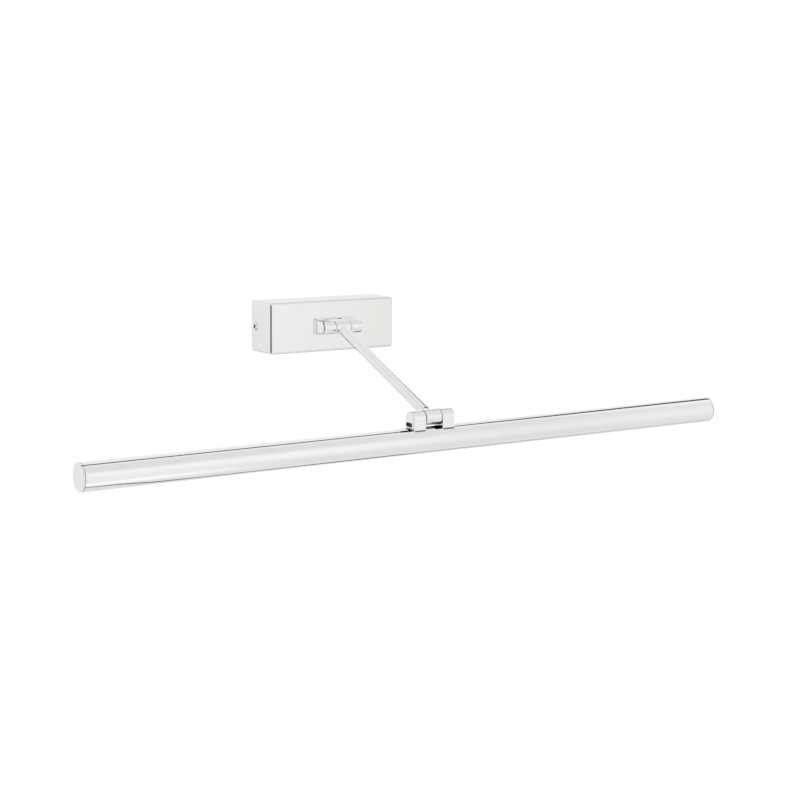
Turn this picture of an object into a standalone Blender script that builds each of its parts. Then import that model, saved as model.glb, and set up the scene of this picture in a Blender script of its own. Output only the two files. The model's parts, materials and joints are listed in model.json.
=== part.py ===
"""Picture light: a slim tubular lamp on a friction-jointed arm, carried by a slab-shaped wall box.

The frame: +X along the lamp tube, +Y into the wall, +Z up. The origin is the middle of the
wall box on the wall face (Y = 0), so the whole fixture lies on the -Y side. Units are metres.

Assembly, from the wall outwards
  wall box   mounting plate, cover, LED driver, terminal block, leads, hinge base and its two ears
  arm        rectangular bar, a barrel at each end, and its lead
  lamp head  slotted tube, end caps, diffuser, LED board on its carrier, two ears, pin and lead
The arm turns on a hollow pin between the wall ears; the lamp head turns on a second hollow pin
between the lamp ears. Both axes are parallel to X.
"""

import math
from collections import namedtuple

import bmesh
import bpy
from mathutils import Matrix, Vector

MM = 0.001
GAP = 0.3 * MM  # clearance drawn between pieces that touch
PAST = 1.0 * MM  # unit by which cutters run past the faces they open
X, Y, Z = 0, 1, 2
SIDES = (("left", -1), ("right", 1))
SHARP_ANGLE = math.radians(35.0)

# Wall box
BOX_W, BOX_H, BOX_D = 157.4 * MM, 56.7 * MM, 45.0 * MM
BOX_HALF = BOX_W / 2
FRONT = -BOX_D

# Hinges: both are the same width across the ears
HINGE_HALF = 25.0 * MM  # outer end of each ear
EAR_IN = 10.1 * MM  # inner face of each ear
EAR_INNER_EDGE = 0.4 * MM  # rounding of the rims that face the barrel
EAR_SCREW_X = 15.0 * MM
EAR_SCREW_BORE_R = 1.7 * MM
BARREL_HALF = 9.2 * MM
PIN_R, PIN_BORE_R, PIN_HOLLOW_R = 3.0 * MM, 3.08 * MM, 1.8 * MM
PIN_HALF = 19.4 * MM
PIN_BORE_END = 23.2 * MM  # blind end of the bore in each ear
PIN_STEPS = 24  # facets round the pins and their bores
PIN_WINDOW_HALF_W, PIN_WINDOW_HALF_H, PIN_WINDOW_D = 4 * MM, 1.3 * MM, 4 * MM
WASHER_BORE_R, WASHER_T, WASHER_CLEARANCE = 3.15 * MM, 0.5 * MM, 0.2 * MM

# Leads pass through the right-hand ears, beyond the pin's open end
LEAD_X, LEAD_R = 21.7 * MM, 0.9 * MM
LEAD_BORE_R = 1.6 * MM

# Lamp tube and the two pivots
TUBE_L, TUBE_R, TUBE_T = 760.0 * MM, 13.9 * MM, 1.2 * MM
TUBE_Y, TUBE_Z = -240.3 * MM, -96.9 * MM
TUBE_TOP = TUBE_Z + TUBE_R
WALL_PIVOT = Vector((0.0, -61.4 * MM, 0.0))
LAMP_PIVOT = Vector((0.0, TUBE_Y, -73.6 * MM))

# Screws, lengths in mm. recess_r and recess_depth size the cross recess; turn is in degrees.
Screw = namedtuple(
    "Screw",
    "head_r head_h shank_r shank_l recess_r recess_depth facets turn",
    defaults=(12, 45.0),
)
COVER_SCREW = Screw(4.9, 2.4, 1.6, 9.0, 2.9, 1.6, facets=24, turn=12.0)
WALL_EAR_SCREW = Screw(3.5, 2.2, 1.55, 12.0, 2.0, 1.4)
LAMP_EAR_SCREW = Screw(2.6, 1.8, 1.5, 7.0, 1.6, 1.1)
DRIVER_SCREW = Screw(2.8, 1.7, 1.2, 4.5, 1.5, 1.0)
EARTH_SCREW = Screw(3.3, 2.0, 1.6, 1.7, 1.8, 1.2)
SCREW_TIP = 0.6 * MM  # chamfer at the end of the shank
RECESS_HALF_W = 0.55 * MM  # half thickness of each blade of the cross

# Materials: key, name, base colour, roughness, metallic
MATERIALS = (
    ("chrome", "polished_chrome", (0.90, 0.90, 0.91), 0.04, 1.0),
    ("screw", "nickel_screw", (0.72, 0.72, 0.73), 0.22, 1.0),
    ("zinc", "zinc_plated_steel", (0.66, 0.68, 0.70), 0.35, 1.0),
    ("steel", "ground_steel", (0.60, 0.60, 0.61), 0.25, 1.0),
    ("brass", "brass", (0.78, 0.62, 0.32), 0.30, 1.0),
    ("aluminium", "extruded_aluminium", (0.78, 0.79, 0.80), 0.40, 1.0),
    ("polymer", "friction_polymer", (0.10, 0.10, 0.11), 0.55, 0.0),
    ("rubber", "black_rubber", (0.03, 0.03, 0.03), 0.70, 0.0),
    ("cable", "lead_sleeve", (0.12, 0.12, 0.12), 0.50, 0.0),
    ("opal", "opal_diffuser", (0.95, 0.95, 0.94), 0.45, 0.0),
    ("white_plastic", "white_plastic", (0.88, 0.88, 0.87), 0.45, 0.0),
    ("nylon", "natural_nylon", (0.85, 0.84, 0.80), 0.50, 0.0),
)


# ---------------------------------------------------------------- scene and materials


def clear_scene():
    for obj in list(bpy.data.objects):
        bpy.data.objects.remove(obj, do_unlink=True)


def make_material(name, colour, roughness, metallic):
    mat = bpy.data.materials.new(name)
    mat.use_nodes = True
    shader = mat.node_tree.nodes["Principled BSDF"]
    shader.inputs["Base Color"].default_value = (*colour, 1.0)
    shader.inputs["Roughness"].default_value = roughness
    shader.inputs["Metallic"].default_value = metallic
    mat.diffuse_color = (*colour, 1.0)
    return mat


def world_of(obj):
    """World position of a group; every group is only moved, never turned."""
    at = Vector()
    while obj is not None:
        at += obj.matrix_basis.translation
        obj = obj.parent
    return at


def make_group(name, location, parent=None):
    obj = bpy.data.objects.new(name, None)
    obj.empty_display_size = 0.02
    bpy.context.scene.collection.objects.link(obj)
    obj.parent = parent
    obj.matrix_basis = Matrix.Translation(Vector(location) - world_of(parent))
    return obj


# ---------------------------------------------------------------- outlines


def arc(centre_a, centre_b, radius, start, end, steps):
    """Points (a, b) along an arc, angles in degrees."""
    turns = [math.radians(start + (end - start) * i / steps) for i in range(steps + 1)]
    return [
        (centre_a + radius * math.cos(turn), centre_b + radius * math.sin(turn))
        for turn in turns
    ]


def rounded(a0, a1, b0, b1, radii, steps=3):
    """A rectangle whose corners (a0 b0), (a1 b0), (a1 b1), (a0 b1) have their own radii."""
    r00, r10, r11, r01 = radii
    return (
        arc(a0 + r00, b0 + r00, r00, 180, 270, steps)
        + arc(a1 - r10, b0 + r10, r10, 270, 360, steps)
        + arc(a1 - r11, b1 - r11, r11, 0, 90, steps)
        + arc(a0 + r01, b1 - r01, r01, 90, 180, steps)
    )


def sector(outer, inner, half, steps):
    """A ring sector within +-half radians of the second axis."""
    turns = [half * (2 * i / steps - 1) for i in range(steps + 1)]
    return [(outer * math.sin(turn), outer * math.cos(turn)) for turn in turns] + [
        (inner * math.sin(turn), inner * math.cos(turn)) for turn in reversed(turns)
    ]


def in_mm(points):
    """Converts a table of (a, b) points in mm to metres."""
    return [(a * MM, b * MM) for a, b in points]


def along_x(y, z, x):
    """Places an outline in (Y, Z) that is drawn out along X."""
    return Vector((x, y, z))


def along_y(x, z, y):
    """Places an outline in (X, Z) that is drawn out along Y."""
    return Vector((x, y, z))


# ---------------------------------------------------------------- shapes
# Every shape is a BMesh in world coordinates; add() hands it to its group.


def box(lo, hi, bevel=0.0, segments=2):
    shape = bmesh.new()
    bmesh.ops.create_cube(shape, size=1.0)
    lo, hi = Vector(lo), Vector(hi)
    size = hi - lo
    for vert in shape.verts:
        vert.co = Vector([(lo[k] + hi[k]) / 2 + vert.co[k] * size[k] for k in range(3)])
    if bevel:
        bmesh.ops.bevel(
            shape,
            geom=list(shape.edges),
            offset=bevel,
            segments=segments,
            profile=0.5,
            affect="EDGES",
        )
    return shape


def prism(outline, lo, hi, place):
    """A prism on a closed outline, from lo to hi; place(a, b, distance) gives the 3-D point."""
    shape = bmesh.new()
    base = shape.faces.new([shape.verts.new(place(a, b, lo)) for a, b in outline])
    grown = bmesh.ops.extrude_face_region(shape, geom=[base])["geom"]
    move = place(0.0, 0.0, hi) - place(0.0, 0.0, lo)
    for item in grown:
        if isinstance(item, bmesh.types.BMVert):
            item.co += move
    bmesh.ops.recalc_face_normals(shape, faces=list(shape.faces))
    return shape


def loft(rings):
    """A closed solid through rings of points, capped at both ends."""
    shape = bmesh.new()
    rings = [[shape.verts.new(point) for point in ring] for ring in rings]
    for low, high in zip(rings, rings[1:]):
        for i in range(len(low)):
            shape.faces.new((low[i - 1], low[i], high[i], high[i - 1]))
    shape.faces.new(rings[0])
    shape.faces.new(rings[-1][::-1])
    return shape


def turned(profile, centre, axis, facets):
    """A turned solid: profile is a closed loop of (radius, distance along the axis) points."""
    centre = Vector(centre)
    axis = Vector(axis).normalized()
    across = axis.orthogonal().normalized()
    shape = bmesh.new()
    verts = [shape.verts.new(centre + across * r + axis * along) for r, along in profile]
    edges = [shape.edges.new((verts[i], verts[i - 1])) for i in range(len(verts))]
    # Edges that lie on the axis would sweep out faces of no area.
    swept = [
        edge
        for edge in edges
        if not all((vert.co - centre).cross(axis).length < 1e-9 for vert in edge.verts)
    ]
    bmesh.ops.spin(
        shape,
        geom=swept,
        cent=centre,
        axis=axis,
        angle=math.tau,
        steps=facets,
        use_merge=True,
    )
    bmesh.ops.remove_doubles(shape, verts=list(shape.verts), dist=1e-7)
    loose = [edge for edge in shape.edges if not edge.link_faces]
    bmesh.ops.delete(shape, geom=loose, context="EDGES")
    return shape


def rod(radius, start, end, facets):
    start, end = Vector(start), Vector(end)
    length = (end - start).length
    profile = [(0.0, 0.0), (radius, 0.0), (radius, length), (0.0, length)]
    return turned(profile, start, end - start, facets)


def drill(axis, radius, at, start, end, facets):
    """A rod along X, Y or Z from start to end; at holds its other two coordinates in order."""
    ends = []
    for along in (start, end):
        point = list(at)
        point.insert(axis, along)
        ends.append(point)
    return rod(radius, *ends, facets)


def ring(outer, inner, start, end, facets):
    start, end = Vector(start), Vector(end)
    length = (end - start).length
    profile = [(outer, 0.0), (outer, length), (inner, length), (inner, 0.0)]
    return turned(profile, start, end - start, facets)


def round_rim(shape, way, width, segments):
    """Rounds the rim of the face that looks along +X (way = 1) or -X (way = -1)."""
    shape.normal_update()
    rims = set()
    for face in shape.faces:
        if way * face.normal.x > 0.999:
            for edge in face.edges:
                if any(abs(near.normal.x) < 0.5 for near in edge.link_faces):
                    rims.add(edge)
    bmesh.ops.bevel(
        shape,
        geom=list(rims),
        offset=width,
        segments=segments,
        profile=0.5,
        affect="EDGES",
        clamp_overlap=True,
    )


# ---------------------------------------------------------------- objects


def to_object(name, shape):
    bmesh.ops.recalc_face_normals(shape, faces=list(shape.faces))
    mesh = bpy.data.meshes.new(name)
    shape.to_mesh(mesh)
    shape.free()
    obj = bpy.data.objects.new(name, mesh)
    bpy.context.scene.collection.objects.link(obj)
    return obj


def combine(obj, shapes, operation):
    """Applies Booleans one after another and removes the tools."""
    for shape in shapes:
        tool = to_object(obj.name + "_tool", shape)
        tool.hide_render = True
        mod = obj.modifiers.new("combine", "BOOLEAN")
        mod.operation = operation
        mod.solver = "EXACT"
        mod.object = tool
        bpy.context.view_layer.update()
        graph = bpy.context.evaluated_depsgraph_get()
        mesh = bpy.data.meshes.new_from_object(obj.evaluated_get(graph))
        obj.modifiers.clear()
        old = obj.data
        obj.data = mesh
        bpy.data.meshes.remove(old)
        bpy.data.objects.remove(tool, do_unlink=True)
    obj.data.name = obj.name


def add(name, shape, mat, group, cut=(), join=()):
    """Makes the named piece: joins, then cuts, shading, material and parent."""
    obj = to_object(name, shape)
    combine(obj, join, "UNION")
    combine(obj, cut, "DIFFERENCE")
    obj.data.transform(Matrix.Translation(-world_of(group)))
    obj.data.materials.clear()
    obj.data.materials.append(mat)
    obj.data.shade_smooth()
    obj.data.set_sharp_from_angle(angle=SHARP_ANGLE)
    obj.parent = group


def add_lead(name, points, radius, mat, group):
    """A round lead swept along points, with rounded bends and closed ends."""
    origin = world_of(group)
    data = bpy.data.curves.new(name, "CURVE")
    data.dimensions = "3D"
    data.bevel_depth = radius
    data.bevel_resolution = 1
    data.use_fill_caps = True
    data.resolution_u = 3
    spline = data.splines.new("BEZIER")
    spline.bezier_points.add(len(points) - 1)
    for i, (point, at) in enumerate(zip(spline.bezier_points, points)):
        at = Vector(at)
        before = Vector(points[max(i - 1, 0)])
        after = Vector(points[min(i + 1, len(points) - 1)])
        along = (after - before).normalized()
        point.co = at - origin
        point.handle_left = at - origin - along * (at - before).length / 3
        point.handle_right = at - origin + along * (after - at).length / 3
    data.materials.append(mat)
    obj = bpy.data.objects.new(name, data)
    bpy.context.scene.collection.objects.link(obj)
    obj.parent = group


def cross_recess(seat, into, head_h, radius, depth, turn):
    """Two crossed blades, narrowing inwards, that cut the recess into a screw's head."""
    across = into.orthogonal().normalized()
    up = into.cross(across)
    top = seat - into * (head_h + PAST)
    low = seat - into * (head_h - depth)
    blades = []
    for k in range(2):
        angle = math.radians(turn) + k * math.pi / 2
        long = across * math.cos(angle) + up * math.sin(angle)
        thick = into.cross(long)
        blades.append(
            loft(
                [
                    at + long * (half * i) + thick * (RECESS_HALF_W * j)
                    for i, j in ((1, 1), (-1, 1), (-1, -1), (1, -1))
                ]
                for at, half in ((top, radius * 1.15), (low, radius * 0.55))
            )
        )
    return blades


def add_screw(name, screw, seat, into, mat, group):
    """A pan-head screw: seat is where the head meets the face, into points along the shank."""
    head_r, head_h, shank_r, shank_l, recess_r, recess_depth = (
        size * MM for size in screw[:6]
    )
    dome = [
        (head_r * math.cos(turn), -head_h * (0.45 + 0.55 * math.sin(turn)))
        for turn in map(math.radians, (68, 35, 0))
    ]
    profile = [
        (0.0, -head_h),
        *dome,
        (head_r, 0.0),
        (shank_r, 0.0),
        (shank_r, shank_l - SCREW_TIP),
        (shank_r - SCREW_TIP, shank_l),
        (0.0, shank_l),
    ]
    seat, into = Vector(seat), Vector(into)
    blades = cross_recess(seat, into, head_h, recess_r, recess_depth, screw.turn)
    add(name, turned(profile, seat, into, screw.facets), mat, group, blades)


# ---------------------------------------------------------------- parts shared by both hinges


def ear_blank(outline, side, outer_edge, segments):
    """An ear before drilling, with both rims rounded."""
    ear = prism(outline, *sorted((side * EAR_IN, side * HINGE_HALF)), along_x)
    round_rim(ear, side, outer_edge, segments)
    round_rim(ear, -side, EAR_INNER_EDGE, 1)
    return ear


def pin_bore(pivot, side):
    """Cutter for the blind pin hole in one ear."""
    start = side * (EAR_IN - 2 * PAST)
    return drill(X, PIN_BORE_R, (pivot.y, pivot.z), start, side * PIN_BORE_END, PIN_STEPS)


def add_washer(name, pivot, side, outer, mats, group):
    start = side * (BARREL_HALF + WASHER_CLEARANCE)
    ends = [pivot + Vector((x, 0, 0)) for x in (start, start + side * WASHER_T)]
    add(name, ring(outer, WASHER_BORE_R, *ends, 16), mats["polymer"], group)


def add_pin(name, pivot, way, mats, group):
    """Hollow pin with a window in its middle for the lead, on the +Y (way = 1) or -Y side."""
    reach = Vector((PIN_HALF, 0, 0))
    pin = ring(PIN_R, PIN_HOLLOW_R, pivot - reach, pivot + reach, PIN_STEPS)
    low_y, high_y = sorted((pivot.y, pivot.y + way * PIN_WINDOW_D))
    window = box(
        (-PIN_WINDOW_HALF_W, low_y, pivot.z - PIN_WINDOW_HALF_H),
        (PIN_WINDOW_HALF_W, high_y, pivot.z + PIN_WINDOW_HALF_H),
    )
    add(name, pin, mats["steel"], group, [window])


# ---------------------------------------------------------------- wall box: plate and cover

PLATE_T = 1.5 * MM
COVER_T = 1.5 * MM
COVER_FRONT_R = 3.0 * MM  # radius of the long front edges
COVER_REAR_R = 3.2 * MM  # and where top and bottom turn in to the wall
COVER_RIM_R, COVER_RIM_REAR_R = 2.8 * MM, 0.9 * MM  # rim of the side faces: front, and at the wall
COVER_LIP = 5.0 * MM  # width of the turned-in lip on the wall side
CAVITY_FRONT_R, CAVITY_REAR_R = 1.5 * MM, 1.6 * MM
COVER_EAR_HOLE_R, COVER_LEAD_HOLE_R = 2.2 * MM, 1.7 * MM
COVER_SCREW_Y = -11.0 * MM  # cover screws, one in each side face
COVER_SCREW_HOLE_R, FLANGE_SCREW_HOLE_R = 2.3 * MM, 1.75 * MM
SIDE_DRILL_D = 6 * MM  # depth of the side holes' cutters below the cover's side faces

PLATE_W, PLATE_H = BOX_W - 2 * COVER_T - 0.9 * MM, BOX_H - 2 * COVER_LIP - 1.0 * MM
FLANGE_D, FLANGE_H = 20.0 * MM, 22.0 * MM
WALL_SLOT_X, WALL_SLOT_W, WALL_SLOT_L = 66.0 * MM, 5.0 * MM, 12.0 * MM
PLATE_CUT = (-3 * MM, PAST)  # Y range of the cutters through the plate
CABLE_X, CABLE_R = 27.0 * MM, 5.5 * MM  # supply cable entry
CABLE_HOLE_R = CABLE_R + 1.5 * MM
EARTH_Z, EARTH_HOLE_R = 15 * MM, 1.75 * MM
FIXING_HOLE_R = 1.3 * MM  # plate holes under the driver and the terminal block

FITTING_BACK = -1.9 * MM  # wall side of the driver and the terminal block
DRIVER_LEFT, DRIVER_RIGHT = -55 * MM, 11 * MM
DRIVER_SCREW_X = (DRIVER_LEFT - 4 * MM, DRIVER_RIGHT + 4 * MM)
BLOCK_X, BLOCK_FIXING_Z = 45 * MM, 11 * MM


def side_hole(side, radius, past):
    """Cutter for a cover screw's hole through one side."""
    inner, outer = BOX_HALF - SIDE_DRILL_D, BOX_HALF + past
    return drill(X, radius, (COVER_SCREW_Y, 0), side * inner, side * outer, 20)


def add_mounting_plate(mats, group):
    """Flat strip with a flange bent forward at each end for the cover screws."""
    plate = box((-PLATE_W / 2, -PLATE_T, -PLATE_H / 2), (PLATE_W / 2, 0.0, PLATE_H / 2))
    flanges = []
    cuts = []
    for _, side in SIDES:
        x0, x1 = sorted((side * PLATE_W / 2, side * (PLATE_W / 2 - PLATE_T)))
        flanges.append(box((x0, -FLANGE_D, -FLANGE_H / 2), (x1, -PLATE_T / 2, FLANGE_H / 2)))
        slot = rounded(
            side * WALL_SLOT_X - WALL_SLOT_W / 2,
            side * WALL_SLOT_X + WALL_SLOT_W / 2,
            -WALL_SLOT_L / 2,
            WALL_SLOT_L / 2,
            (WALL_SLOT_W / 2 * 0.98,) * 4,
        )
        cuts.append(prism(slot, *PLATE_CUT, along_y))
        cuts.append(side_hole(side, FLANGE_SCREW_HOLE_R, PAST))
    # Round holes: (x, z), radius, facets
    for at, radius, facets in (
        ((CABLE_X, 0), CABLE_HOLE_R, 28),
        ((CABLE_X, EARTH_Z), EARTH_HOLE_R, 20),
        ((DRIVER_SCREW_X[0], 0), FIXING_HOLE_R, 16),
        ((DRIVER_SCREW_X[1], 0), FIXING_HOLE_R, 16),
        ((BLOCK_X, -BLOCK_FIXING_Z), FIXING_HOLE_R, 16),
        ((BLOCK_X, BLOCK_FIXING_Z), FIXING_HOLE_R, 16),
    ):
        cuts.append(drill(Y, radius, at, *PLATE_CUT, facets))
    add("mounting_plate", plate, mats["zinc"], group, cuts, flanges)


def cover_form(steps=3):
    """The cover's outer form: its section drawn out along X, with a rounded rim at each side."""
    front_y, rear_y = FRONT + COVER_FRONT_R, -GAP - COVER_REAR_R
    front_z, rear_z = BOX_H / 2 - COVER_FRONT_R, BOX_H / 2 - COVER_REAR_R
    # Section corners: centre y, z, radius, start angle, share of the front rim radius
    # at the start and end of the corner.
    corners = (
        (front_y, -front_z, COVER_FRONT_R, 180, 1.0, 1.0),
        (rear_y, -rear_z, COVER_REAR_R, 270, 1.0, 0.0),
        (rear_y, rear_z, COVER_REAR_R, 0, 0.0, 1.0),
        (front_y, front_z, COVER_FRONT_R, 90, 1.0, 1.0),
    )
    section = []  # y, z, outward normal y, z, rim radius
    for y, z, radius, start, share0, share1 in corners:
        for i in range(steps + 1):
            turn = math.radians(start + 90 * i / steps)
            out_y, out_z = math.cos(turn), math.sin(turn)
            share = share0 + (share1 - share0) * i / steps
            rim = COVER_RIM_REAR_R + (COVER_RIM_R - COVER_RIM_REAR_R) * share
            section.append((y + radius * out_y, z + radius * out_z, out_y, out_z, rim))
    turns = [math.pi / 2 * i / steps for i in range(steps + 1)]
    stations = [(-1, turn) for turn in turns] + [(1, turn) for turn in reversed(turns)]
    return loft(
        [
            (
                side * (BOX_HALF - rim * (1 - math.cos(turn))),
                y - out_y * rim * (1 - math.sin(turn)),
                z - out_z * rim * (1 - math.sin(turn)),
            )
            for y, z, out_y, out_z, rim in section
        ]
        for side, turn in stations
    )


def add_cover(mats, group):
    """Five-sided shell, open to the wall, with a lip turned in at top and bottom."""
    inside = BOX_HALF - COVER_T
    cavity_section = rounded(
        FRONT + COVER_T,
        -COVER_T,
        -BOX_H / 2 + COVER_T,
        BOX_H / 2 - COVER_T,
        (CAVITY_FRONT_R, CAVITY_REAR_R, CAVITY_REAR_R, CAVITY_FRONT_R),
        2,
    )
    opening_z = BOX_H / 2 - COVER_LIP
    cuts = [
        prism(cavity_section, -inside, inside, along_x),
        box((-inside, -10 * MM, -opening_z), (inside, 2 * PAST, opening_z)),
    ]
    front_cut = (FRONT - 2 * PAST, FRONT + 4 * MM)
    for _, side in SIDES:
        cuts.append(side_hole(side, COVER_SCREW_HOLE_R, 2 * PAST))
        cuts.append(drill(Y, COVER_EAR_HOLE_R, (side * EAR_SCREW_X, 0), *front_cut, 20))
    cuts.append(drill(Y, COVER_LEAD_HOLE_R, (LEAD_X, 0), *front_cut, 16))
    add("box_cover", cover_form(), mats["chrome"], group, cuts)


def add_cover_screws(mats, group):
    for name, side in SIDES:
        seat = (side * (BOX_HALF + GAP), COVER_SCREW_Y, 0)
        add_screw("cover_screw_" + name, COVER_SCREW, seat, (-side, 0, 0), mats["screw"], group)


# ---------------------------------------------------------------- wall box: hinge

WALL_BASE_T, WALL_BASE_HALF_H, WALL_BASE_EDGE = 5.7 * MM, 8.5 * MM, 0.5 * MM
WALL_BASE_REAR = FRONT - GAP
WALL_BASE_FRONT = WALL_BASE_REAR - WALL_BASE_T
BASE_SCREW_HOLE_R = 2.2 * MM
WALL_EAR_R, WALL_EAR_EDGE = 7.5 * MM, 2.3 * MM
WALL_EAR_REAR = WALL_BASE_FRONT - GAP
WALL_EAR_SCREW_BORE_END = WALL_PIVOT.y + 4.0 * MM
WALL_WASHER_R = 6.3 * MM


def add_hinge_base(mats, group):
    """Flat bar on the cover's front face that carries the two ears."""
    base = box(
        (-HINGE_HALF, WALL_BASE_FRONT, -WALL_BASE_HALF_H),
        (HINGE_HALF, WALL_BASE_REAR, WALL_BASE_HALF_H),
        WALL_BASE_EDGE,
    )
    through = (WALL_BASE_FRONT - PAST, WALL_BASE_REAR + PAST)
    cuts = [
        drill(Y, BASE_SCREW_HOLE_R, (side * EAR_SCREW_X, 0), *through, 20) for _, side in SIDES
    ]
    cuts.append(drill(Y, LEAD_BORE_R, (LEAD_X, 0), *through, 16))
    add("wall_hinge_base", base, mats["chrome"], group, cuts)


def add_wall_ear(name, side, mats, group):
    """Ear flat against the base and round in front, with a blind hole for the pin."""
    y, z, radius = WALL_PIVOT.y, WALL_PIVOT.z, WALL_EAR_R
    outline = arc(y, z, radius, 90, 270, 14)
    outline += [(WALL_EAR_REAR, z - radius), (WALL_EAR_REAR, z + radius)]
    start = WALL_EAR_REAR + 2 * PAST
    screw_at = (side * EAR_SCREW_X, 0)
    cuts = [
        pin_bore(WALL_PIVOT, side),
        drill(Y, EAR_SCREW_BORE_R, screw_at, start, WALL_EAR_SCREW_BORE_END, 20),
    ]
    if side > 0:
        cuts.append(drill(Y, LEAD_BORE_R, (LEAD_X, 0), start, y, 16))
    ear = ear_blank(outline, side, WALL_EAR_EDGE, 3)
    add("wall_ear_" + name, ear, mats["chrome"], group, cuts)


def add_wall_hinge(mats, group):
    add_hinge_base(mats, group)
    for name, side in SIDES:
        add_wall_ear(name, side, mats, group)
        # The screws run forward from inside the cover.
        seat = (side * EAR_SCREW_X, FRONT + COVER_T + GAP, 0)
        screw_name = "wall_ear_screw_" + name
        add_screw(screw_name, WALL_EAR_SCREW, seat, (0, -1, 0), mats["zinc"], group)
        washer_name = "wall_friction_washer_" + name
        add_washer(washer_name, WALL_PIVOT, side, WALL_WASHER_R, mats, group)
    add_pin("wall_pivot_pin", WALL_PIVOT, -1, mats, group)


# ---------------------------------------------------------------- wall box: driver

DRIVER_FRONT, DRIVER_HALF_H, DRIVER_EDGE = -24 * MM, 15 * MM, 1.5 * MM
TAB_FRONT, TAB_HALF_H = -4.4 * MM, 5 * MM
TAB_REACH, TAB_ROOT = 7 * MM, 3 * MM  # beyond the case's end, and inside it
TAB_HOLE_R = 1.6 * MM
LID_FRONT, LID_REAR = -24.6 * MM, -22 * MM
LID_INSET, LID_HALF_H = 5 * MM, 11 * MM
DRIVER_LEAD_Y, DRIVER_LEAD_Z = -17 * MM, 9 * MM  # lead holes in the right-hand end
DRIVER_LEAD_HOLE_R = 1.4 * MM
DRIVER_LEAD_START = DRIVER_RIGHT + 1.0 * MM


def add_driver(mats, group):
    """Moulded case with a raised lid and a fixing tab at each end."""
    case = box(
        (DRIVER_LEFT, DRIVER_FRONT, -DRIVER_HALF_H),
        (DRIVER_RIGHT, FITTING_BACK, DRIVER_HALF_H),
        DRIVER_EDGE,
    )
    joins = []
    for end, side in ((DRIVER_LEFT, -1), (DRIVER_RIGHT, 1)):
        x0, x1 = sorted((end + side * TAB_REACH, end - side * TAB_ROOT))
        joins.append(box((x0, TAB_FRONT, -TAB_HALF_H), (x1, FITTING_BACK, TAB_HALF_H)))
    joins.append(
        box(
            (DRIVER_LEFT + LID_INSET, LID_FRONT, -LID_HALF_H),
            (DRIVER_RIGHT - LID_INSET, LID_REAR, LID_HALF_H),
        )
    )
    cuts = [drill(Y, TAB_HOLE_R, (x, 0), -8 * MM, 0, 16) for x in DRIVER_SCREW_X]
    lead_cut = (DRIVER_RIGHT - 6 * MM, DRIVER_RIGHT + 2 * PAST)
    for z in (-DRIVER_LEAD_Z, DRIVER_LEAD_Z):
        cuts.append(drill(X, DRIVER_LEAD_HOLE_R, (DRIVER_LEAD_Y, z), *lead_cut, 12))
    add("led_driver", case, mats["white_plastic"], group, cuts, joins)


def add_driver_screws(mats, group):
    for (name, _), x in zip(SIDES, DRIVER_SCREW_X):
        seat = (x, TAB_FRONT - GAP, 0)
        add_screw("driver_screw_" + name, DRIVER_SCREW, seat, (0, 1, 0), mats["zinc"], group)


# ---------------------------------------------------------------- wall box: terminals and cable

BLOCK_HALF_W, BLOCK_HALF_H, BLOCK_FRONT = 8 * MM, 16 * MM, -17 * MM
BLOCK_EDGE = 0.8 * MM
WAY_PITCH = 10.5 * MM
WELL_R, WELL_BOTTOM = 2.2 * MM, -11 * MM
ENTRY_R, ENTRY_Y = 1.8 * MM, -8 * MM
GROOVE_BOTTOM, GROOVE_HALF_W = -13 * MM, 0.5 * MM  # grooves between the ways
TERMINAL_R, TERMINAL_T, TERMINAL_FRONT = 1.9 * MM, 1.9 * MM, -13.2 * MM
TERMINAL_SLOT_HALF_L, TERMINAL_SLOT_HALF_W = 2 * MM, 0.35 * MM
TERMINAL_SLOT_Y = (-15 * MM, -12.5 * MM)

SUPPLY_LEAD_R = 1.3 * MM
SUPPLY_LEAD = (
    (36.2 * MM, ENTRY_Y, -WAY_PITCH),
    (29 * MM, -10 * MM, -13 * MM),
    (19 * MM, -17 * MM, -11 * MM),
    (DRIVER_LEAD_START, DRIVER_LEAD_Y, -DRIVER_LEAD_Z),
)
OUTPUT_LEAD = (
    (DRIVER_LEAD_START, DRIVER_LEAD_Y, DRIVER_LEAD_Z),
    (18.5 * MM, -19 * MM, 8 * MM),
    (LEAD_X, -30 * MM, 2 * MM),
    (LEAD_X, -40 * MM, 0),
    (LEAD_X, -51 * MM, 0),
    (LEAD_X, -59.3 * MM, 0),
)


def add_terminal_block(mats, group):
    """Three ways, each with a screw well and a wire entry from both sides."""
    block = box(
        (BLOCK_X - BLOCK_HALF_W, BLOCK_FRONT, -BLOCK_HALF_H),
        (BLOCK_X + BLOCK_HALF_W, FITTING_BACK, BLOCK_HALF_H),
        BLOCK_EDGE,
        1,
    )
    left, right = BLOCK_X - BLOCK_HALF_W - PAST, BLOCK_X + BLOCK_HALF_W + PAST
    front = BLOCK_FRONT - PAST
    cuts = []
    for z in (-WAY_PITCH, 0.0, WAY_PITCH):
        cuts.append(drill(Y, WELL_R, (BLOCK_X, z), front, WELL_BOTTOM, 16))
        cuts.append(drill(X, ENTRY_R, (ENTRY_Y, z), left, right, 16))
    for z in (-WAY_PITCH / 2, WAY_PITCH / 2):
        cuts.append(
            box((left, front, z - GROOVE_HALF_W), (right, GROOVE_BOTTOM, z + GROOVE_HALF_W))
        )
    add("terminal_block", block, mats["nylon"], group, cuts)


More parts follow.
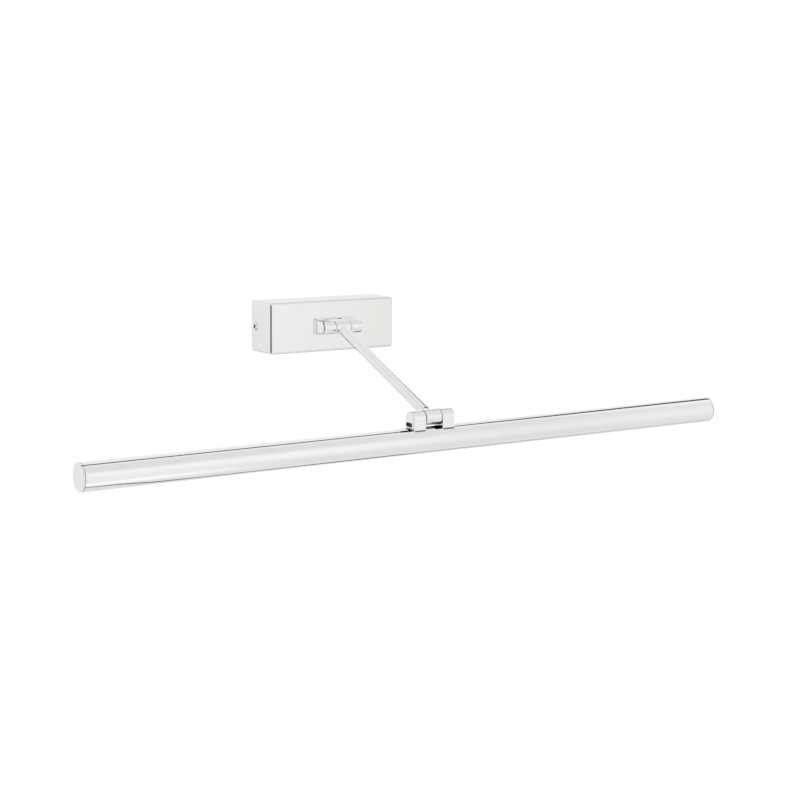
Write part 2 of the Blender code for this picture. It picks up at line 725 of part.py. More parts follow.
def add_terminal_screws(mats, group):
    """Headless slotted screws, one in each well."""
    slot_y0, slot_y1 = TERMINAL_SLOT_Y
    for name, z in (("live", WAY_PITCH), ("earth", 0.0), ("neutral", -WAY_PITCH)):
        slot = box(
            (BLOCK_X - TERMINAL_SLOT_HALF_L, slot_y0, z - TERMINAL_SLOT_HALF_W),
            (BLOCK_X + TERMINAL_SLOT_HALF_L, slot_y1, z + TERMINAL_SLOT_HALF_W),
        )
        rear = TERMINAL_FRONT + TERMINAL_T
        screw = drill(Y, TERMINAL_R, (BLOCK_X, z), TERMINAL_FRONT, rear, 12)
        add("terminal_screw_" + name, screw, mats["brass"], group, [slot])


def add_earth_screw(mats, group):
    seat = (CABLE_X, -PLATE_T - GAP, EARTH_Z)
    add_screw("earth_screw", EARTH_SCREW, seat, (0, 1, 0), mats["brass"], group)


def add_cable_grommet(mats, group):
    """Sleeve that lines the cable entry, with a flange on the plate's front."""
    waist_r, flange_r = CABLE_R + 1.2 * MM, CABLE_R + 2.9 * MM
    flange_rear, flange_front = PLATE_T + 0.2 * MM, PLATE_T + 2.2 * MM
    chamfer = 0.6 * MM
    profile = [
        (CABLE_R, 0.0),
        (waist_r, 0.0),
        (waist_r, flange_rear),
        (flange_r, flange_rear),
        (flange_r, flange_front - chamfer),
        (flange_r - chamfer, flange_front),
        (CABLE_R, flange_front),
    ]
    grommet = turned(profile, (CABLE_X, -0.1 * MM, 0), (0, -1, 0), 18)
    add("cable_grommet", grommet, mats["rubber"], group)


def build_wall_box(mats, group):
    add_mounting_plate(mats, group)
    add_cover(mats, group)
    add_cover_screws(mats, group)
    add_wall_hinge(mats, group)
    add_driver(mats, group)
    add_driver_screws(mats, group)
    add_terminal_block(mats, group)
    add_terminal_screws(mats, group)
    add_earth_screw(mats, group)
    add_cable_grommet(mats, group)
    add_lead("driver_supply_lead", SUPPLY_LEAD, SUPPLY_LEAD_R, mats["cable"], group)
    add_lead("driver_output_lead", OUTPUT_LEAD, LEAD_R, mats["cable"], group)


# ---------------------------------------------------------------- arm

ARM_W, ARM_H, ARM_T = 7.0 * MM, 8.8 * MM, 1.0 * MM
ARM_EDGE_R, ARM_BORE_EDGE_R = 0.7 * MM, 0.3 * MM
ARM_END = 5 * MM  # bar's square ends from the pivots, before they are hollowed for the barrels
ARM_SADDLE_GAP, ARM_SADDLE_HALF = 0.15 * MM, 9 * MM
WALL_BARREL_R, LAMP_BARREL_R = 7.35 * MM, 8.2 * MM
BARREL_CHAMFER = 0.35 * MM
BARREL_LAND, BARREL_HOLLOW_R = 5.0 * MM, 4.9 * MM  # inner end of the bearing lands; hollow between
BARREL_LEAD_R, BARREL_LEAD_SPAN = 2.0 * MM, (3.6 * MM, 10 * MM)
ARM_LEAD_END = 4.2 * MM  # from each pivot

ARM_LENGTH = (LAMP_PIVOT - WALL_PIVOT).length
ARM_DIRECTION = (LAMP_PIVOT - WALL_PIVOT).normalized()
ARM_UP = ARM_DIRECTION.cross(Vector((1, 0, 0)))  # across the bar's height, upwards


def arm_point(x, up, along):
    """A point in the arm's own frame, measured from the wall pivot."""
    return WALL_PIVOT + Vector((x, 0, 0)) + ARM_UP * up + ARM_DIRECTION * along


def arm_outline(inset, radius, steps):
    half_w, half_h = ARM_W / 2 - inset, ARM_H / 2 - inset
    return rounded(-half_w, half_w, -half_h, half_h, (radius,) * 4, steps)


def add_arm_bar(mats, group):
    """Hollow rectangular bar, its ends hollowed to fit round the barrels."""
    bar = prism(arm_outline(0.0, ARM_EDGE_R, 3), ARM_END, ARM_LENGTH - ARM_END, arm_point)
    cuts = [prism(arm_outline(ARM_T, ARM_BORE_EDGE_R, 1), 0.0, ARM_LENGTH, arm_point)]
    reach = Vector((ARM_SADDLE_HALF, 0, 0))
    for pivot, radius in ((WALL_PIVOT, WALL_BARREL_R), (LAMP_PIVOT, LAMP_BARREL_R)):
        cuts.append(rod(radius + ARM_SADDLE_GAP, pivot - reach, pivot + reach, 48))
    add("arm_bar", bar, mats["chrome"], group, cuts)


def add_barrel(name, pivot, radius, way, mats, group):
    """Barrel with a bearing land at each end and a wider hollow between; way = 1 if the arm
    leaves it along ARM_DIRECTION."""
    half = BARREL_HALF
    profile = [
        (PIN_BORE_R, -half),
        (radius - BARREL_CHAMFER, -half),
        (radius, -half + BARREL_CHAMFER),
        (radius, half - BARREL_CHAMFER),
        (radius - BARREL_CHAMFER, half),
        (PIN_BORE_R, half),
        (PIN_BORE_R, BARREL_LAND),
        (BARREL_HOLLOW_R, BARREL_LAND),
        (BARREL_HOLLOW_R, -BARREL_LAND),
        (PIN_BORE_R, -BARREL_LAND),
    ]
    start, end = (pivot + ARM_DIRECTION * way * along for along in BARREL_LEAD_SPAN)
    lead_hole = rod(BARREL_LEAD_R, start, end, 16)
    barrel = turned(profile, pivot, (1, 0, 0), PIN_STEPS)
    add(name, barrel, mats["chrome"], group, [lead_hole])


def build_arm(mats, group):
    add_arm_bar(mats, group)
    add_barrel("arm_wall_barrel", WALL_PIVOT, WALL_BARREL_R, 1, mats, group)
    add_barrel("arm_lamp_barrel", LAMP_PIVOT, LAMP_BARREL_R, -1, mats, group)
    stations = (ARM_LEAD_END, ARM_LENGTH / 3, ARM_LENGTH * 2 / 3, ARM_LENGTH - ARM_LEAD_END)
    points = [arm_point(0, 0, along) for along in stations]
    add_lead("arm_lead", points, LEAD_R, mats["cable"], group)


# ---------------------------------------------------------------- lamp head: tube and light

SLOT_TURN = math.radians(25.0)  # light leaves down and back towards the wall
SLOT_HALF = math.radians(33.0)
TUBE_AXIS = Vector((0.0, TUBE_Y, TUBE_Z))
TUBE_DRILL = (TUBE_TOP - 4 * MM, TUBE_TOP + PAST)  # Z range of the cutters through the tube's top
TUBE_SCREW_HOLE_R, TUBE_LEAD_HOLE_R = 2.0 * MM, 2.6 * MM

CAP_T, CAP_SPIGOT, CAP_CHAMFER = 1.5 * MM, 8.0 * MM, 0.6 * MM
SPIGOT_R, SPIGOT_HOLLOW_R = 12.2 * MM, 10.8 * MM
TUBE_END = TUBE_L / 2 - CAP_T - 0.2 * MM

DIFFUSER_R, DIFFUSER_INNER_R = 13.5 * MM, 12.5 * MM
DIFFUSER_HALF = SLOT_HALF - math.radians(1.4)
DIFFUSER_END = TUBE_END - 0.3 * MM

CARRIER_END = TUBE_END - CAP_SPIGOT - 1.0 * MM
BOARD_END = CARRIER_END - 3 * MM
LED_COUNT, LED_END, LED_HALF_L = 30, CARRIER_END - 12 * MM, 1.4 * MM

# Sections in the lamp's own frame, mm: across the slot, towards the slot
CARRIER_SECTION = (
    (-11.9, 0.4), (11.9, 0.4), (11.9, -1.6), (6.0, -1.6), (6.0, -6.5), (4.6, -6.5),
    (4.6, -1.6), (-4.6, -1.6), (-4.6, -6.5), (-6.0, -6.5), (-6.0, -1.6), (-11.9, -1.6),
)
BOARD_SECTION = ((-5, 0.7), (5, 0.7), (5, 2.0), (-5, 2.0))
LED_SECTION = ((-1.75, 1.8), (1.75, 1.8), (1.5, 2.8), (-1.5, 2.8))


def lamp_point(across, out, x):
    """A point in the lamp's own frame: out towards the light slot, across it."""
    cos, sin = math.cos(SLOT_TURN), math.sin(SLOT_TURN)
    return Vector((x, TUBE_Y + out * sin + across * cos, TUBE_Z - out * cos + across * sin))


def add_tube(mats, group):
    """Ring section with the light slot left open, drawn out along X."""
    wall = sector(TUBE_R, TUBE_R - TUBE_T, math.pi - SLOT_HALF, 44)
    # The wall is centred opposite the slot.
    section = [(-across, -out) for across, out in wall]
    tube = prism(section, -TUBE_END, TUBE_END, lamp_point)
    cuts = [
        drill(Z, radius, (x, TUBE_Y), *TUBE_DRILL, 20)
        for x, radius in (
            (-EAR_SCREW_X, TUBE_SCREW_HOLE_R),
            (EAR_SCREW_X, TUBE_SCREW_HOLE_R),
            (LEAD_X, TUBE_LEAD_HOLE_R),
        )
    ]
    add("lamp_tube", tube, mats["chrome"], group, cuts)


def add_end_caps(mats, group):
    """Chamfered discs, each with a ring spigot inside the tube."""
    profile = [
        (0.0, 0.0),
        (TUBE_R - CAP_CHAMFER, 0.0),
        (TUBE_R, CAP_CHAMFER),
        (TUBE_R, CAP_T),
        (SPIGOT_R, CAP_T),
        (SPIGOT_R, CAP_T + CAP_SPIGOT),
        (SPIGOT_HOLLOW_R, CAP_T + CAP_SPIGOT),
        (SPIGOT_HOLLOW_R, CAP_T),
        (0.0, CAP_T),
    ]
    for name, side in SIDES:
        end = TUBE_AXIS + Vector((side * TUBE_L / 2, 0, 0))
        cap = turned(profile, end, (-side, 0, 0), 40)
        add("end_cap_" + name, cap, mats["chrome"], group)


def add_diffuser(mats, group):
    """Opal strip that closes the slot."""
    section = sector(DIFFUSER_R, DIFFUSER_INNER_R, DIFFUSER_HALF, 16)
    strip = prism(section, -DIFFUSER_END, DIFFUSER_END, lamp_point)
    add("diffuser", strip, mats["opal"], group)


def add_led_carrier(mats, group):
    """Extrusion across the tube near its axis, with two fins on the side away from the slot."""
    carrier = prism(in_mm(CARRIER_SECTION), -CARRIER_END, CARRIER_END, lamp_point)
    span = (TUBE_Z - 6 * MM, TUBE_Z + 6 * MM)
    lead_hole = drill(Z, LEAD_BORE_R, (LEAD_X, TUBE_Y), *span, 16)
    add("led_carrier", carrier, mats["aluminium"], group, [lead_hole])


def add_led_board(mats, group):
    """Narrow strip with a row of chips."""
    board = prism(in_mm(BOARD_SECTION), -BOARD_END, BOARD_END, lamp_point)
    pitch = 2 * LED_END / (LED_COUNT - 1)
    chips = []
    for i in range(LED_COUNT):
        x = -LED_END + i * pitch
        chips.append(prism(in_mm(LED_SECTION), x - LED_HALF_L, x + LED_HALF_L, lamp_point))
    add("led_board", board, mats["white_plastic"], group, join=chips)


# ---------------------------------------------------------------- lamp head: hinge

LAMP_EAR_R, LAMP_EAR_EDGE = 7.8 * MM, 0.8 * MM
LAMP_EAR_FOOT = TUBE_Z + 6 * MM  # underside of the ear before the tube's form is cut away
LAMP_EAR_SEAT_R, LAMP_EAR_SEAT_HALF = TUBE_R + 0.2 * MM, 40 * MM
LAMP_EAR_SCREW_BORE_END = LAMP_PIVOT.z - 4.2 * MM
LAMP_EAR_SCREW_Z = TUBE_Z + 12.0 * MM
LAMP_WASHER_R = 6.1 * MM
# Rounded recess in each ear's left face: depth, Y range, Z range, edge radius
RECESS_D = 1.2 * MM
RECESS_Y = (LAMP_PIVOT.y - 4.4 * MM, LAMP_PIVOT.y + 6.4 * MM)
RECESS_Z = (TUBE_TOP + 0.9 * MM, TUBE_TOP + 5.2 * MM)
RECESS_EDGE = 0.9 * MM

# Radius and height above the tube's top, mm
TUBE_GROMMET_PROFILE = ((1.25, -1.6), (2.35, -1.6), (2.35, -0.1), (1.25, -0.1))
LAMP_LEAD = (
    (LEAD_X, TUBE_Y, LAMP_PIVOT.z - 2.4 * MM),
    (LEAD_X, TUBE_Y, LAMP_PIVOT.z - 10 * MM),
    (LEAD_X, TUBE_Y, LAMP_PIVOT.z - 18 * MM),
    (LEAD_X, TUBE_Y, TUBE_Z + 0.2 * MM),
)


def add_lamp_ear(name, side, mats, group):
    """Ear round on top, flat in front and behind, hollowed underneath to sit on the tube."""
    y, z, radius = LAMP_PIVOT.y, LAMP_PIVOT.z, LAMP_EAR_R
    outline = arc(y, z, radius, 0, 180, 14)
    outline += [(y - radius, LAMP_EAR_FOOT), (y + radius, LAMP_EAR_FOOT)]
    left = min(side * EAR_IN, side * HINGE_HALF)
    reach = Vector((LAMP_EAR_SEAT_HALF, 0, 0))
    start = TUBE_TOP - 4 * PAST
    screw_at = (side * EAR_SCREW_X, y)
    cuts = [
        rod(LAMP_EAR_SEAT_R, TUBE_AXIS - reach, TUBE_AXIS + reach, 72),
        pin_bore(LAMP_PIVOT, side),
        box(
            (left - 2 * PAST, RECESS_Y[0], RECESS_Z[0]),
            (left + RECESS_D, RECESS_Y[1], RECESS_Z[1]),
            RECESS_EDGE,
        ),
        drill(Z, EAR_SCREW_BORE_R, screw_at, start, LAMP_EAR_SCREW_BORE_END, 20),
    ]
    if side > 0:
        cuts.append(drill(Z, LEAD_BORE_R, (LEAD_X, y), start, z, 16))
    ear = ear_blank(outline, side, LAMP_EAR_EDGE, 2)
    add("lamp_ear_" + name, ear, mats["chrome"], group, cuts)


def add_lamp_hinge(mats, group):
    for name, side in SIDES:
        add_lamp_ear(name, side, mats, group)
        # The screws run up from inside the tube.
        seat = (side * EAR_SCREW_X, TUBE_Y, LAMP_EAR_SCREW_Z)
        screw_name = "lamp_ear_screw_" + name
        add_screw(screw_name, LAMP_EAR_SCREW, seat, (0, 0, 1), mats["zinc"], group)
        washer_name = "lamp_friction_washer_" + name
        add_washer(washer_name, LAMP_PIVOT, side, LAMP_WASHER_R, mats, group)
    add_pin("lamp_pivot_pin", LAMP_PIVOT, 1, mats, group)


def add_tube_grommet(mats, group):
    """Plain sleeve in the tube's lead hole."""
    at = (LEAD_X, TUBE_Y, TUBE_TOP)
    grommet = turned(in_mm(TUBE_GROMMET_PROFILE), at, (0, 0, 1), 14)
    add("tube_grommet", grommet, mats["rubber"], group)


def build_lamp_head(mats, group):
    add_tube(mats, group)
    add_end_caps(mats, group)
    add_diffuser(mats, group)
    add_led_carrier(mats, group)
    add_led_board(mats, group)
    add_lamp_hinge(mats, group)
    add_tube_grommet(mats, group)
    add_lead("lamp_lead", LAMP_LEAD, LEAD_R, mats["cable"], group)


def main():
    clear_scene()
    mats = {key: make_material(*values) for key, *values in MATERIALS}
    wall_group = make_group("wall_box_group", (0, 0, 0))
    arm_group = make_group("arm_pivot", WALL_PIVOT, wall_group)
    lamp_group = make_group("lamp_pivot", LAMP_PIVOT, arm_group)
    build_wall_box(mats, wall_group)
    build_arm(mats, arm_group)
    build_lamp_head(mats, lamp_group)


main()
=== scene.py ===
"""Looks of the picture light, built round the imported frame."""

import json
import math

import bmesh
import bpy
from mathutils import Matrix, Vector

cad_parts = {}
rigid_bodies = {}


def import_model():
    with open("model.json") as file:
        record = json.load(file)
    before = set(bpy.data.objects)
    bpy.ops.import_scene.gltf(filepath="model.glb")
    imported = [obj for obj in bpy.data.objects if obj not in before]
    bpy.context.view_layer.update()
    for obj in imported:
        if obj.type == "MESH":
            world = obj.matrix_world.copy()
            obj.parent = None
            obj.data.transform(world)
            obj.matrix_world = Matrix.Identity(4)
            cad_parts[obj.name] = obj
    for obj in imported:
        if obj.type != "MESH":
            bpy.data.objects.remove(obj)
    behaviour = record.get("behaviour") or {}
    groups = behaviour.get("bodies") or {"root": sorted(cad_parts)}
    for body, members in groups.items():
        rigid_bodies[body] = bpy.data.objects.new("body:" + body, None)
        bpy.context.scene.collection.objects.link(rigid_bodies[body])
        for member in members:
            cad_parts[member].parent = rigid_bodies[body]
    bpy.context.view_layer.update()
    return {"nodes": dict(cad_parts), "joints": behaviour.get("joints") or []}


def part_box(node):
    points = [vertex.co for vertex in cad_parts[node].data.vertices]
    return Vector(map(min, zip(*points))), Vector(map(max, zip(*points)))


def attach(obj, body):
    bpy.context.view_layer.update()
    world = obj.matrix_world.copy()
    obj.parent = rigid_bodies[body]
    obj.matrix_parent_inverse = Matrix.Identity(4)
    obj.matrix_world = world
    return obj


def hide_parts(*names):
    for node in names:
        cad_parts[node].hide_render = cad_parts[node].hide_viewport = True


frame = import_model()

MM = 0.001
TAU = math.tau


# ------------------------------------------------------------------ places, read from the frame

JOINT = {j["name"]: Vector(j["pos_m"]) for j in frame["joints"]}
WALL_PIVOT = JOINT["arm_tilt"]
LAMP_PIVOT = JOINT["lamp_tilt"]

COVER_LO, COVER_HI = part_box("box_cover")
BASE_LO, BASE_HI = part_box("wall_hinge_base")
EAR_LO, EAR_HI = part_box("wall_ear_right")
LEAR_LO, LEAR_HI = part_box("lamp_ear_right")
BARREL_LO, BARREL_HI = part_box("arm_wall_barrel")
LBARREL_LO, LBARREL_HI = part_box("arm_lamp_barrel")
BAR_LO, BAR_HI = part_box("arm_bar")
CAP_LO, CAP_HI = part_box("end_cap_left")
TUBE_LO, TUBE_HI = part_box("lamp_tube")
PLATE_LO, PLATE_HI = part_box("mounting_plate")
GROM_LO, GROM_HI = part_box("cable_grommet")

BOX_HALF = COVER_HI.x
FRONT_Y = COVER_LO.y
HINGE_HALF = EAR_HI.x
EAR_IN = EAR_LO.x
TUBE_R = (CAP_HI.z - CAP_LO.z) / 2
AXIS = Vector((0.0, (CAP_HI.y + CAP_LO.y) / 2, (CAP_HI.z + CAP_LO.z) / 2))
TUBE_HALF = -CAP_LO.x
TUBE_END = TUBE_HI.x
WALL_EAR_R = EAR_HI.z
LAMP_EAR_R = LEAR_HI.z - LAMP_PIVOT.z
SLOT_TURN, SLOT_HALF = math.radians(25.0), math.radians(33.0)


# ------------------------------------------------------------------ node helpers


class Tree:
    """Short ways to write node trees."""

    def __init__(self, owner):
        owner.use_nodes = True
        self.tree = owner.node_tree
        self.nodes, self.links = self.tree.nodes, self.tree.links
        self.nodes.clear()

    def new(self, kind, **settings):
        node = self.nodes.new(kind)
        for key, value in settings.items():
            setattr(node, key, value)
        return node

    def put(self, socket, value):
        if isinstance(value, bpy.types.NodeSocket):
            self.links.new(value, socket)
        elif value is not None:
            socket.default_value = value

    def math(self, operation, a, b=None, c=None, clamp=False):
        node = self.new("ShaderNodeMath", operation=operation, use_clamp=clamp)
        for socket, value in zip(node.inputs, (a, b, c)):
            self.put(socket, value)
        return node.outputs[0]

    def vmath(self, operation, a, b=None):
        node = self.new("ShaderNodeVectorMath", operation=operation)
        self.put(node.inputs[0], a)
        self.put(node.inputs[1], b)
        return node.outputs["Value" if operation in ("DOT_PRODUCT", "LENGTH") else "Vector"]

    def between(self, value, lo, hi, to_lo=0.0, to_hi=1.0, smooth=False):
        node = self.new(
            "ShaderNodeMapRange", interpolation_type="SMOOTHSTEP" if smooth else "LINEAR"
        )
        for socket, given in zip(node.inputs, (value, lo, hi, to_lo, to_hi)):
            self.put(socket, given)
        return node.outputs[0]

    def mix(self, share, a, b, blend="MIX"):
        node = self.new("ShaderNodeMix", data_type="RGBA", blend_type=blend)
        self.put(node.inputs[0], share)
        self.put(node.inputs[6], a)
        self.put(node.inputs[7], b)
        return node.outputs[2]

    def mixf(self, share, a, b):
        node = self.new("ShaderNodeMix", data_type="FLOAT")
        self.put(node.inputs[0], share)
        self.put(node.inputs[2], a)
        self.put(node.inputs[3], b)
        return node.outputs[0]

    def ramp(self, value, stops, interpolation="LINEAR"):
        node = self.new("ShaderNodeValToRGB")
        node.color_ramp.interpolation = interpolation
        elements = node.color_ramp.elements
        while len(elements) > 1:
            elements.remove(elements[-1])
        for i, (at, colour) in enumerate(stops):
            element = elements[0] if i == 0 else elements.new(at)
            element.position = at
            if not isinstance(colour, (tuple, list)):
                colour = (colour,) * 3
            element.color = (*colour[:3], 1.0)
        self.put(node.inputs[0], value)
        return node.outputs[0]

    def noise(self, vector, scale, detail=2.0, roughness=0.5, distortion=0.0):
        node = self.new("ShaderNodeTexNoise")
        self.put(node.inputs["Vector"], vector)
        node.inputs["Scale"].default_value = scale
        node.inputs["Detail"].default_value = detail
        node.inputs["Roughness"].default_value = roughness
        node.inputs["Distortion"].default_value = distortion
        return node.outputs["Fac"]

    def stretch(self, vector, scale):
        node = self.new("ShaderNodeMapping")
        self.put(node.inputs["Vector"], vector)
        node.inputs["Scale"].default_value = scale
        return node.outputs[0]

    def bump(self, height, strength, distance, normal=None):
        node = self.new("ShaderNodeBump")
        node.inputs["Strength"].default_value = strength
        node.inputs["Distance"].default_value = distance
        self.put(node.inputs["Height"], height)
        if normal is not None:
            self.put(node.inputs["Normal"], normal)
        return node.outputs[0]


def linear(value):
    """Display value 0..255 to scene-linear."""
    value = value / 255.0
    return value / 12.92 if value <= 0.04045 else ((value + 0.055) / 1.055) ** 2.4


# ------------------------------------------------------------------ materials


def principled(name):
    mat = bpy.data.materials.new(name)
    t = Tree(mat)
    out = t.new("ShaderNodeOutputMaterial")
    shader = t.new("ShaderNodeBsdfPrincipled")
    t.links.new(shader.outputs[0], out.inputs["Surface"])
    place = t.new("ShaderNodeTexCoord").outputs["Object"]
    return mat, t, shader, place


def paint_shade_boxes(t, place, painted_shade_boxes):
    """Painted shade and painted reflections: dark boxes (centre, half size, strength, softness) in millimetres,
    standing for contact shadows, crevice shade and dark reflected lines.
    """
    split = t.new("ShaderNodeSeparateXYZ")
    t.put(split.inputs[0], place)
    total = None
    for centre, half, strength, soft in painted_shade_boxes:
        value = None
        for i in range(3):
            off = t.math("ABSOLUTE", t.math("SUBTRACT", split.outputs[i], centre[i] * MM))
            inner, outer = max(0.0, half[i] - soft) * MM, (half[i] + soft) * MM
            part = t.between(off, inner, outer, 1.0, 0.0, smooth=True)
            value = part if value is None else t.math("MULTIPLY", value, part)
        value = t.math("MULTIPLY", value, strength)
        total = value if total is None else t.math("MAXIMUM", total, value)
    return total


def chrome_material(name, grain=(1.0, 1.0, 1.0), tint=(0.905, 0.906, 0.899), rough=0.03, edge=1.0, shade_along_x=None, crevice_shade_floor=0.42, painted_shade_boxes=(), level_top=False):
    """Bright chrome plate: a trace of orange peel, hair-fine polishing lines along the grain and handling haze.
    Painted shade: crevices painted darker from an occlusion lookup, painted dark reflection lines where an edge
    turns past the gap between two studio panels, and painted shade boxes."""
    mat, t, s, place = principled(name)
    s.inputs["Specular Tint"].default_value = (edge, edge, edge * 0.995, 1.0)
    haze = t.noise(place, 38.0, 4.0, 0.62, 0.4)
    fine = t.noise(place, 900.0, 3.0, 0.6)
    lines = t.noise(t.stretch(place, grain), 2600.0, 2.0, 0.7)
    peel = t.noise(place, 260.0, 1.0, 0.4)
    swell = t.noise(place, 16.0, 1.0, 0.3)
    hazy = t.between(haze, 0.42, 0.78, 0.0, 1.0, smooth=True)
    colour = t.mix(
        hazy, (*tint, 1.0), (tint[0] * 0.982, tint[1] * 0.981, tint[2] * 0.988, 1.0)
    )
    colour = t.mix(t.between(fine, 0.66, 0.8, 0.0, 0.10), colour, (0.72, 0.72, 0.73, 1.0))
    # painted shade: the colour darkens steadily along X, towards the +X end
    if shade_along_x:
        parts = t.new("ShaderNodeSeparateXYZ")
        t.put(parts.inputs[0], place)
        x_shade = t.between(parts.outputs[0], shade_along_x[0], shade_along_x[1], 0.0, 1.0)
        colour = t.mix(x_shade, colour, (tint[0] * shade_along_x[2], tint[1] * shade_along_x[2], tint[2] * shade_along_x[2] * 0.988, 1.0))
    # painted shade: crevices are darkened in the colour by an occlusion lookup
    crevice_occlusion = t.new("ShaderNodeAmbientOcclusion", samples=6)
    crevice_occlusion.inputs["Distance"].default_value = 0.0016
    f = crevice_shade_floor
    crevice_shade = t.ramp(
        crevice_occlusion.outputs["AO"],
        [(0.0, f), (0.35, f + 0.18 * (1 - f)), (0.55, f + 0.55 * (1 - f)), (0.76, 1.0)],
    )
    colour = t.mix(1.0, colour, crevice_shade, "MULTIPLY")
    # painted reflection: the stored dark line per vertex and the shade boxes darken the colour and the edge tint
    painted_dark_line = t.new("ShaderNodeAttribute", attribute_name="painted_dark_line").outputs["Fac"]
    if painted_shade_boxes:
        painted_dark_line = t.math("MAXIMUM", painted_dark_line, paint_shade_boxes(t, place, painted_shade_boxes))
    colour = t.mix(painted_dark_line, colour, (0.012, 0.012, 0.014, 1.0))
    t.put(s.inputs["Base Color"], colour)
    tint_edge = t.math("MULTIPLY", t.math("SUBTRACT", 1.0, painted_dark_line), edge)
    grey = t.new("ShaderNodeCombineColor")
    for i in range(3):
        t.put(grey.inputs[i], tint_edge)
    t.put(s.inputs["Specular Tint"], grey.outputs[0])
    s.inputs["Metallic"].default_value = 1.0
    roughness = t.math(
        "ADD",
        t.math("MULTIPLY_ADD", hazy, 0.035, rough),
        t.math("MULTIPLY", t.between(lines, 0.5, 0.8), 0.03),
    )
    t.put(s.inputs["Roughness"], roughness)
    first = t.bump(peel, 0.035, 0.0002)
    second = t.bump(swell, 0.03, 0.002, first)
    third = t.bump(lines, 0.02, 0.00004, second)
    if level_top:
        # the upper shoulder is buffed flatter, so it shows one even tone up to its top
        facing = t.new("ShaderNodeSeparateXYZ")
        t.put(facing.inputs[0], third)
        flat = t.new("ShaderNodeCombineXYZ")
        t.put(flat.inputs[0], facing.outputs[0])
        flat.inputs[1].default_value = -0.74
        flat.inputs[2].default_value = 0.67
        steep = t.between(facing.outputs[2], 0.64, 0.70, 0.0, 1.0)
        front = t.between(facing.outputs[1], 0.25, 0.10, 0.0, 1.0)
        share = t.math("MULTIPLY", t.math("MULTIPLY", steep, front), 0.92)
        keep = t.new("ShaderNodeMix", data_type="VECTOR")
        t.put(keep.inputs[0], share)
        t.links.new(third, keep.inputs[4])
        t.links.new(flat.outputs[0], keep.inputs[5])
        third = t.vmath("NORMALIZE", keep.outputs[1])
    t.put(s.inputs["Normal"], third)
    return mat


def screw_material():
    mat, t, s, place = principled("bright_nickel")
    # painted reflection: dark arcs and patches over the head, painted into the nickel colour
    rim = paint_shade_boxes(t, place, SCREW_PAINTED_SHADE)
    cloud = t.noise(place, 420.0, 3.0, 0.6)
    rings = t.noise(t.stretch(place, (0.2, 1.0, 1.0)), 1800.0, 2.0, 0.6)
    t.put(
        s.inputs["Base Color"],
        t.mix(rim, t.mix(cloud, (1.0, 1.0, 0.99, 1), (0.93, 0.93, 0.93, 1)), (0.03, 0.03, 0.03, 1)),
    )
    s.inputs["Metallic"].default_value = 1.0
    t.put(s.inputs["Roughness"], t.between(rings, 0.3, 0.7, 0.08, 0.2))
    t.put(s.inputs["Normal"], t.bump(rings, 0.06, 0.00005))
    return mat


def zinc_material():
    """Bright zinc plate with a faint blue and straw passivation bloom and rolling marks."""
    mat, t, s, place = principled("zinc_plate")
    bloom = t.noise(place, 24.0, 3.0, 0.6, 1.2)
    spangle = t.new("ShaderNodeTexVoronoi", feature="F1")
    t.put(spangle.inputs["Vector"], place)
    spangle.inputs["Scale"].default_value = 340.0
    rolled = t.noise(t.stretch(place, (0.03, 1.0, 1.0)), 1500.0, 3.0, 0.7)
    colour = t.ramp(
        bloom,
        [
            (0.30, (0.60, 0.64, 0.70)),
            (0.48, (0.70, 0.71, 0.72)),
            (0.62, (0.72, 0.70, 0.62)),
            (0.78, (0.62, 0.66, 0.69)),
        ],
    )
    colour = t.mix(0.12, colour, spangle.outputs["Color"], "OVERLAY")
    t.put(s.inputs["Base Color"], colour)
    s.inputs["Metallic"].default_value = 1.0
    t.put(
        s.inputs["Roughness"],
        t.math("MULTIPLY_ADD", rolled, 0.18, t.between(bloom, 0.2, 0.8, 0.22, 0.36)),
    )
    t.put(s.inputs["Normal"], t.bump(rolled, 0.10, 0.00006))
    return mat


def metal_material(name, a, b, rough, scale=900.0, grain=(1.0, 1.0, 1.0), strength=0.1):
    mat, t, s, place = principled(name)
    cloud = t.noise(place, 60.0, 3.0, 0.6)
    lines = t.noise(t.stretch(place, grain), scale, 3.0, 0.7)
    t.put(s.inputs["Base Color"], t.mix(cloud, (*a, 1), (*b, 1)))
    s.inputs["Metallic"].default_value = 1.0
    t.put(s.inputs["Roughness"], t.between(lines, 0.3, 0.75, rough - 0.07, rough + 0.1))
    t.put(s.inputs["Normal"], t.bump(lines, strength, 0.00006))
    return mat


def plastic_material(name, a, b, rough, grain=1400.0, strength=0.15, coat=0.0):
    mat, t, s, place = principled(name)
    cloud = t.noise(place, 50.0, 3.0, 0.55)
    spark = t.noise(place, grain, 3.0, 0.65)
    t.put(s.inputs["Base Color"], t.mix(cloud, (*a, 1), (*b, 1)))
    t.put(s.inputs["Roughness"], t.between(spark, 0.3, 0.7, rough - 0.06, rough + 0.08))
    s.inputs["Coat Weight"].default_value = coat
    t.put(s.inputs["Normal"], t.bump(spark, strength, 0.00008))
    return mat


def opal_material():
    """Satin opal: milky, clouded a shade warmer and darker in places, with extrusion lines along it."""
    mat, t, s, place = principled("opal_diffuser")
    cloud = t.noise(place, 30.0, 3.0, 0.5)
    lines = t.noise(t.stretch(place, (0.004, 1.0, 1.0)), 1600.0, 2.0, 0.6)
    grain = t.noise(place, 2600.0, 2.0, 0.6)
    colour = t.mix(cloud, (0.80, 0.805, 0.80, 1), (0.765, 0.765, 0.75, 1))
    t.put(s.inputs["Base Color"], colour)
    t.put(s.inputs["Roughness"], t.between(grain, 0.3, 0.7, 0.40, 0.52))
    s.inputs["Sheen Weight"].default_value = 0.05
    t.put(s.inputs["Normal"], t.bump(lines, 0.03, 0.00003, t.bump(grain, 0.015, 0.00002)))
    return mat


